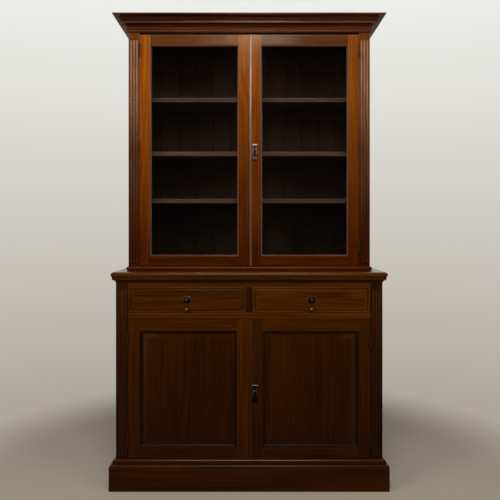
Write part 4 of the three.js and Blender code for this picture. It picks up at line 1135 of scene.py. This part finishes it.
def door_piece(case, side, part, shape, wood, nodes=(), tone=1.0):
    """A wooden piece of a door, from the shape that it has on a right-hand door."""
    names = f"{case}_{side}_{part}", f"{case}_{side}_door", f"{case}_wood"
    piece(names[0], on_side(side, shape), wood, *names[1:], nodes, tone)


def meeting_bead(case, face, z0, z1, wood):
    """A half-round bead up the meeting edge of a right-hand door: half an ellipse carried up the door."""
    start, width, proud, let_in = 0.001, 0.012, 0.005, 0.0005
    turn = np.linspace(0, math.pi, 17)
    middle = start + width / 2
    half_round = np.column_stack([middle - width / 2 * np.cos(turn), -proud * np.sin(turn)])
    section = np.vstack([half_round, [(start + width, let_in), (start, let_in)]]) + (0, face)
    # Full wear all over: the pale rub colour paints the highlight that runs down the bead, as well as rubbing
    # by hands
    shape = rewear_and_relight(prism(section, Z, z0, z1, Z, band=MM), lambda points, wear_and_light: np.ones(len(points)))
    piece(f"{case}_meeting_bead", shape, wood, f"{case}_right_door", f"{case}_wood")


class BOOKCASE_OT_glazed_doors(bpy.types.Operator):
    """Frames the two upper doors round their panes."""

    bl_idname = "bookcase.glazed_doors"
    bl_label = "Glazed doors"

    def execute(self, context):
        sizes = context.scene.bookcase_sizes
        face, z0, z1 = UPPER_FRONT + MM, 1.054, 2.189
        door = (0.001, face, z0), (0.5385, face + DOOR_THICKNESS, z1)
        width = sizes.sight_moulding
        tones = {
            ("left", "top_rail"): 0.4,
            ("right", "top_rail"): 0.3,
            ("left", "hinge_stile"): 1.05,
            ("right", "hinge_stile"): 0.8,
            ("left", "meeting_stile"): 0.76,
            ("right", "meeting_stile"): 0.87,
            ("left", "bottom_rail"): 0.75,
            ("right", "bottom_rail"): 0.8,
        }
        for side, sight_left in (("right", 0.064), ("left", 0.058)):
            sight = sight_left, 0.4805, 1.107, 2.133
            door_frame("upper", side, door, sight, width, POLISHED, tones, sizes.joint_ease)
            path = *round_opening(*sight, face), (X, Z, X, Z)
            moulding = np.vstack([traced(SIGHT_ROWS, width, 0.008), [(0, 0.012), (width, 0.012)]])
            # Painted shade darkens the moulding's top, under the rail; elsewhere a little wear and the pale
            # finish paint a sheen along the sight edges
            in_shade = sight[3] - MM
            shape = rewear_and_relight(
                carried(moulding, *path, ring=True, band=MM),
                lambda points, wear_and_light: np.where(points[:, 2] > in_shade, -1.0, 0.1),
            )
            door_piece("upper", side, "sight_moulding", shape, HANDLED_SHEEN, tone=0.8)
            bead = [(0, 0.0151), (0.002, 0.0235), (width, 0.0237), (width, 0.0151)]
            shape = carried(bead, *path, ring=True, band=MM)
            door_piece("upper", side, "glass_beads", shape, POLISHED, [f"upper_{side}_glazing_beads"])
            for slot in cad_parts[f"upper_{side}_glass"].material_slots:
                slot.material = finish("drawn_glass")
        meeting_bead("upper", face, z0, z1, HANDLED_SHEEN)
        return {"FINISHED"}


class BOOKCASE_OT_panelled_doors(bpy.types.Operator):
    """Frames the two lower doors round their raised panels."""

    bl_idname = "bookcase.panelled_doors"
    bl_label = "Panelled doors"

    def execute(self, context):
        sizes = context.scene.bookcase_sizes
        face, z0, z1 = LOWER_FRONT + MM, 0.148, 0.808
        door = (0.001, face, z0), (0.5735, face + DOOR_THICKNESS, z1)
        width, bevel = sizes.panel_moulding, sizes.panel_bevel
        tones = {
            ("left", "hinge_stile"): 1.05,
            ("right", "hinge_stile"): 0.75,
            ("left", "meeting_stile"): 1.3,
            ("right", "meeting_stile"): 0.7,
        }
        for side, sight_left in (("right", 0.079), ("left", 0.072)):
            sight = sight_left, 0.5055, 0.212, 0.738
            door_frame("lower", side, door, sight, width, WAXED, tones, sizes.joint_ease)
            path = round_opening(*sight, face)
            moulding = np.vstack([traced(PANEL_MOULDING_ROWS, width, 0.01), [(0, 0.012), (width, 0.012)]])
            shape = carried(moulding, *path, (X, Z, X, Z), ring=True, band=MM)
            # The moulding's low tone paints the shade round each panel
            door_piece("lower", side, "panel_moulding", shape, WAXED, tone=0.35)
            lip = [(0, 0.019), (width, 0.019), (width, 0.0239), (0.0005, 0.0239), (0, 0.0234)]
            shape = carried(lip, *path, (X, Z, X, Z), ring=True, band=MM)
            door_piece("lower", side, "panel_lip", shape, WAXED)
            panel = [(0.0087, 0.0187), (0.0087, 0.0123), (-0.001, 0.0123), (-0.0015, 0.0121)]
            panel += [(-bevel, 0.006), (-bevel, 0.0045), (-bevel - 0.0005, 0.004)]
            shape = carried(panel, *path, (Z,), ring=True, closed=False, field=Z)
            door_piece("lower", side, "raised_panel", shape, WAXED, [f"lower_{side}_panel"], 0.72)
        meeting_bead("lower", face, z0, z1, WAXED)
        return {"FINISHED"}


class BOOKCASE_OT_drawers(bpy.types.Operator):
    """Cuts the two moulded drawer fronts and finishes their boxes."""

    bl_idname = "bookcase.drawers"
    bl_label = "Drawers"

    def execute(self, context):
        low, high = np.array(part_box("right_drawer_front"))
        path = round_opening(low[0], high[0], low[2], high[2], low[1])
        section = np.vstack([[(0, high[1] - low[1])], traced(DRAWER_EDGE_ROWS, 0.02, 0.0055)])
        flat_rim, flush = 0.0083, 0.0004

        def front_wear_and_shade(points, wear_and_light):
            """Little wear on the rim's bead, and painted shade, with dirt, in all that lies behind the face.
            """
            from_rim = np.minimum(points - low, high - points)[:, [0, 2]].min(axis=1)
            wear_and_light = np.where(points[:, 1] > low[1] + flush, -0.9, wear_and_light)
            return np.where(from_rim < flat_rim, 0.35, wear_and_light)

        front = rewear_and_relight(carried(section, *path, (X,), ring=True, closed=False, field=X), front_wear_and_shade)
        for side, tone in (("right", 1.35), ("left", 1.05)):
            name, body, nodes = f"{side}_drawer_face", f"{side}_drawer", [f"{side}_drawer_front"]
            piece(name, on_side(side, front), WAXED, body, "lower_wood", nodes, tone)
        self.box()
        return {"FINISHED"}

    def box(self):
        """The open box: its sides end in dovetails that the pins of the back board fill."""
        low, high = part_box("right_drawer_box")
        wall, tails, ease = 0.01, 4, 0.0004
        floor_low, floor_high = low[2] + 0.002, low[2] + 0.008
        shoulder = high[1] - wall
        pitch = (high[2] - low[2]) / tails
        side = [(low[1], high[2]), (low[1], low[2]), (shoulder, low[2])]
        pins = []
        pin = [(shoulder, low[2]), (high[1], low[2])]
        for middle in low[2] + pitch * (np.arange(tails) + 0.5):
            neck, end = 0.3 * pitch, 0.36 * pitch
            tail = [(shoulder, middle - neck), (high[1], middle - end)]
            tail += [(high[1], middle + end), (shoulder, middle + neck)]
            side += tail
            pins.append([*pin, tail[1], tail[0]])
            pin = [tail[3], tail[2]]
        pins.append([*pin, (high[1], high[2]), (shoulder, high[2])])
        side.append((shoulder, high[2]))
        shapes = []
        for left in (low[0], high[0] - wall):
            shapes.append(prism(side, X, left, left + wall, Y))
            shapes += [prism(outline, X, left, left + wall, X) for outline in pins]
        left, right = low[0] + wall, high[0] - wall
        shapes.append(eased_board((left, shoulder, low[2]), (right, high[1], high[2]), X, ease))
        shapes.append(eased_board((left, low[1], floor_low), (right, shoulder, floor_high), X, ease))
        lining = together(shapes)
        nodes = ["SIDE_drawer_box"]
        both_sides("SIDE_drawer_lining", lining, "oak_drawer_lining", "SIDE_drawer", "drawer_wood", nodes)


class BOOKCASE_OT_metalwork(bpy.types.Operator):
    """Makes the hinges, escutcheons, hanging drops, rosettes, pear drops and locks."""

    bl_idname = "bookcase.metalwork"
    bl_label = "Metalwork"

    def execute(self, context):
        # The last number scales the metal's wear and painted highlight: lower on the lower door, where less
        # light catches it
        for case, face, key_z, rub in (
            ("upper", UPPER_FRONT + MM, 1.64, 1.0),
            ("lower", LOWER_FRONT + MM, 0.483, 0.55),
        ):
            pivot_y, pivot_z = face - 0.007, key_z - 0.015
            self.escutcheon(case, face, key_z, pivot_y, pivot_z, rub)
            self.spade(case, pivot_y, pivot_z)
            self.lock(case, face + DOOR_THICKNESS, key_z)
        for place, z in (("top", 2.114), ("middle", 1.64), ("bottom", 1.156)):
            self.hinge("upper", UPPER_OPENING, UPPER_FRONT, place, z)
        for place, z in (("top", 0.708), ("bottom", 0.236)):
            self.hinge("lower", LOWER_OPENING, LOWER_FRONT, place, z)
        self.drawer_pulls()
        return {"FINISHED"}

    def ears(self, x, seat_y, pivot_y, z):
        """Two round-nosed cheeks beside the eye of a drop."""
        radius, thickness, apart = 0.004, 0.0026, 0.0033
        turn = np.linspace(-math.pi / 2, math.pi / 2, 13)
        nose = np.column_stack([pivot_y - radius * np.cos(turn), z + radius * np.sin(turn)])
        outline = np.vstack([nose, [(seat_y, z + radius), (seat_y, z - radius)]])
        starts = x - apart - thickness, x + apart
        return [prism(outline, X, start, start + thickness, Z, band=MM) for start in starts]

    def eye(self, x, y, z):
        """The round eye of a drop, with its pin showing at both ends."""
        barrel = [(0.0028, -0.003), (0.0032, -0.0026), (0.0032, 0.0026), (0.0028, 0.003)]
        pin = [(0.0011, -0.0064), (0.0014, -0.0061), (0.0014, 0.0061), (0.0011, 0.0064)]
        return [turned(barrel, (x, y, z), X, 20), turned(pin, (x, y, z), X, 12)]

    def keyhole(self, angle):
        """How far the edge of a keyhole lies from the middle of its round head at an angle: the head's radius,
        or down the straight slot below it, whichever is further."""
        head, slot_half, slot_foot, least = 0.0026, 0.00143, 0.0064, 1e-6
        slot = np.minimum(
            slot_half / np.maximum(np.abs(np.cos(angle)), least),
            slot_foot / np.maximum(-np.sin(angle), least),
        )
        return np.where(np.sin(angle) < 0, np.maximum(head, slot), head)

    def escutcheon(self, case, face, key_z, pivot_y, pivot_z, rub):
        """A shaped plate with a keyhole, a pin at its head and foot, and ears for the drop. Its head above the
        upper pins is painted bright, a painted highlight as well as rubbing."""
        outline = traced(ESCUTCHEON_ROWS, 0.0135, 0.06, 10)[:-1] + (0, 0.012)
        outline = supported(outline, True, 0.002)
        steps = [(0, 0, 0), (0, 0.0005, 1), (0.0004, 0.0012, 1), (0.0011, 0.0017, 1)]
        steps += [(0.002, 0.002, 0.3), (0.003, 0.0021, 0)]
        parts = [plate(outline, PLATE_X, face, key_z, steps, self.keyhole)]
        parts += self.ears(PLATE_X, face - 0.001, pivot_y, pivot_z)
        pin_head = [(0.0012, 0), (0.0012, -0.0001), (0.0009, -0.0005), (0.0003, -0.0007)]
        for dx, dz in ((-0.0105, 0.0095), (0.0105, 0.0095), (0, -0.0445)):
            parts.append(turned(pin_head, (PLATE_X + dx, face - 0.0019, key_z + dz), Y, 12))
        painted_highlight_z = key_z + 0.0085
        shape = rewear_and_relight(
            together(parts), lambda points, wear_and_light: np.where(points[:, 2] > painted_highlight_z, 0.95, wear_and_light) * rub
        )
        body = f"{case}_right_door"
        piece(f"{case}_key_plate", shape, BRASS, body, "dark_bronze", [f"{case}_escutcheon"])
        # A near-black patch behind the keyhole paints the shade inside the lock
        turn = np.linspace(0, 2 * math.pi, 40, endpoint=False)
        reach = self.keyhole(turn)[:, None] + 0.0004
        hollow = reach * np.column_stack([np.cos(turn), np.sin(turn)])
        shape = plate(hollow, PLATE_X, face, key_z, [(0, -0.0002, 0), (0, 0.0003, 0)])
        piece(f"{case}_keyhole", shape, "keyhole_dark", body, "dark_bronze")

    def spade(self, case, pivot_y, pivot_z):
        """The hanging drop: a flat stem that widens to a round-shouldered foot, eased on both faces. The foot
        is painted bright, a highlight on its lobes as well as the rubbing of the fingers that lift it."""
        outline = traced(SPADE_ROWS, 0.013, 0.052, 10)
        steps = [(0.0018, 0, 0.2), (0.0006, 0.0006, 0.8), (0, 0.0018, 1)]
        steps += [(0, 0.0032, 1), (0.0006, 0.0044, 0.8), (0.0016, 0.005, 0.1)]
        parts = [plate(outline, PLATE_X, pivot_y + 0.0025, pivot_z, steps)]
        parts += self.eye(PLATE_X, pivot_y, pivot_z)
        foot_z, rub = pivot_z - 0.034, 1.0 if case == "upper" else 0.7
        shape = rewear_and_relight(
            together(parts), lambda points, wear_and_light: np.where(points[:, 2] < foot_z, 0.42, 0.5 * wear_and_light) * rub
        )
        nodes = [f"{case}_door_drop"]
        piece(f"{case}_hanging_drop", shape, BRASS, f"{case}_handle", "dark_bronze", nodes)

    def lock(self, case, back, key_z):
        """The lock let into the back of the meeting stile: its case, with four screws that hold it."""
        depth, half_height, proud = 0.012, 0.0297, 0.0004
        low = 0.0043, back - depth, key_z - half_height
        parts = [eased_board(low, (0.0437, back + proud, key_z + half_height), Z, 0.0005)]
        for x in (0.009, 0.039):
            for z in (key_z - 0.025, key_z + 0.025):
                parts += self.screw(x, back + proud, z)
        name, nodes = f"{case}_lock_case", [f"{case}_lock"]
        piece(name, together(parts), "dulled_lock_steel", f"{case}_right_door", "lock_steel", nodes)

    def screw(self, x, y, z):
        """A slotted screw head in a plate that faces back: two half rounds with the slot between them."""
        radius, slot_angle = 0.0022, 0.17
        turn = np.linspace(slot_angle, math.pi - slot_angle, 11)
        half = np.column_stack([radius * np.cos(turn), radius * np.sin(turn)])
        steps = [(0, 0, 0), (0, -0.0003, 0.8), (0.0003, -0.0005, 0.5)]
        return [plate(half, x, y, z, steps), plate(half * -1, x, y, z, steps)]

    def hinge(self, case, opening, front, place, z):
        """A butt hinge: five knuckles that belong to the case and the door in turn, a button at each end, and
        two leaves let in flush."""
        x, y, outer = opening - 0.00075, front - 0.004, opening - 0.0015
        height, gap, thickness, over = 0.064, 0.0003, 0.0018, 0.0001
        foot, head, pitch = z - height / 2, z + height / 2, (height + gap) / 5
        spans = [(foot + number * pitch, foot + (number + 1) * pitch - gap) for number in range(5)]
        knuckles = []
        for low, high in spans:
            barrel = [(0.003, low), (0.0035, low + 0.0004), (0.0035, high - 0.0004), (0.003, high)]
            knuckles.append(turned(barrel, (x, y, 0), Z, 24))
        on_case, on_door = knuckles[::2], knuckles[1::2]
        for end, way in ((foot, -1), (head, 1)):
            button = [(0.0027, 0), (0.003, 0.0008 * way), (0.0022, 0.0022 * way), (0.0008, 0.003 * way)]
            on_case.append(turned(button, (x, y, end), Z, 20))
        low, high = (opening - over, y, foot), (opening + thickness, front + 0.018, head)
        on_case.append(eased_board(low, high, Z, 0.0003))
        inner = outer - thickness
        for low, high in spans[1::2]:
            on_door.append(eased_board((inner, y, low), (outer, front + 0.002, high), Z, 0.0002))
        low, high = (inner, front + 0.0012, foot), (outer + over, front + 0.019, head)
        on_door.append(eased_board(low, high, Z, 0.0003))
        brass, slot = "waxed_hinge_brass", "dark_bronze"
        nodes = [f"{case}_SIDE_hinge_{place}"]
        both_sides(f"{case}_SIDE_butt_{place}", together(on_case), brass, "case", slot, nodes)
        both_sides(f"{case}_SIDE_leaf_{place}", together(on_door), brass, f"{case}_SIDE_door", slot)

    def drawer_pulls(self):
        """A lobed rosette with a turned pear hanging from it on each drawer. The rosette's rim lies at a
        radius that swings evenly about its mean eight times round."""
        x, z, face = 0.2955, 0.899, LOWER_FRONT
        pivot_y = face - 0.011
        turn = np.linspace(0, 2 * math.pi, 96, endpoint=False)
        reach = 0.0188 + 0.0022 * np.cos(8 * turn)
        rim = reach[:, None] * np.column_stack([np.cos(turn), np.sin(turn)])
        steps = [(0, 0, 0), (0, 0.0008, 0.8), (0.0006, 0.0018, 1)]
        steps += [(0.0018, 0.0024, 0.7), (0.0035, 0.0021, -0.5)]
        boss = traced(ROSETTE_ROWS, 0.0135, 0.0035, 6) * (1, -1)
        parts = [plate(rim, x, face, z, steps), turned(boss, (x, face, z), Y, 40)]
        parts += self.ears(x, face - 0.0025, pivot_y, z)
        shape = rewear_and_relight(together(parts), lambda points, wear_and_light: 0.42 * wear_and_light)
        both_sides("SIDE_pull_rose", shape, BRASS, "SIDE_drawer", "dark_bronze", ["SIDE_drawer_rosette"])
        pear = traced(PEAR_ROWS, 0.0075, 0.054, 6)
        parts = [turned(pear, (x, pivot_y, z), Z, 28), *self.eye(x, pivot_y, z)]
        # The pear's foot is painted bright, a highlight as well as rubbing
        foot_z = z - 0.038
        shape = rewear_and_relight(
            together(parts), lambda points, wear_and_light: np.where(points[:, 2] < foot_z, 0.4, 0.6 * wear_and_light)
        )
        both_sides("SIDE_pull_pear", shape, BRASS, "SIDE_drawer_handle", "dark_bronze", ["SIDE_drawer_drop"])


class BOOKCASE_PT_panel(bpy.types.Panel):
    """Lists the bookcase's operators and sizes in the 3D view's sidebar."""

    bl_idname = "BOOKCASE_PT_panel"
    bl_label = "Bookcase"
    bl_space_type = "VIEW_3D"
    bl_region_type = "UI"
    bl_category = "Bookcase"

    def draw(self, context):
        for operator in OPERATORS:
            self.layout.operator(operator.bl_idname)
        for group in (context.scene.bookcase_sizes, context.scene.bookcase_studio):
            for name in group.__annotations__:
                self.layout.prop(group, name)


OPERATORS = (
    BOOKCASE_OT_studio,
    BOOKCASE_OT_mouldings,
    BOOKCASE_OT_case_boards,
    BOOKCASE_OT_pilasters,
    BOOKCASE_OT_glazed_doors,
    BOOKCASE_OT_panelled_doors,
    BOOKCASE_OT_drawers,
    BOOKCASE_OT_metalwork,
)
CLASSES = (BookcaseSizes, StudioSettings, *OPERATORS, BOOKCASE_PT_panel)


def register():
    for made in CLASSES:
        bpy.utils.register_class(made)
    bpy.types.Scene.bookcase_sizes = bpy.props.PointerProperty(type=BookcaseSizes)
    bpy.types.Scene.bookcase_studio = bpy.props.PointerProperty(type=StudioSettings)


def unregister():
    del bpy.types.Scene.bookcase_studio
    del bpy.types.Scene.bookcase_sizes
    for made in reversed(CLASSES):
        bpy.utils.unregister_class(made)


def main():
    register()
    for operator in OPERATORS:
        group, name = operator.bl_idname.split(".")
        getattr(getattr(bpy.ops, group), name)()


if __name__ == "__main__":
    main()
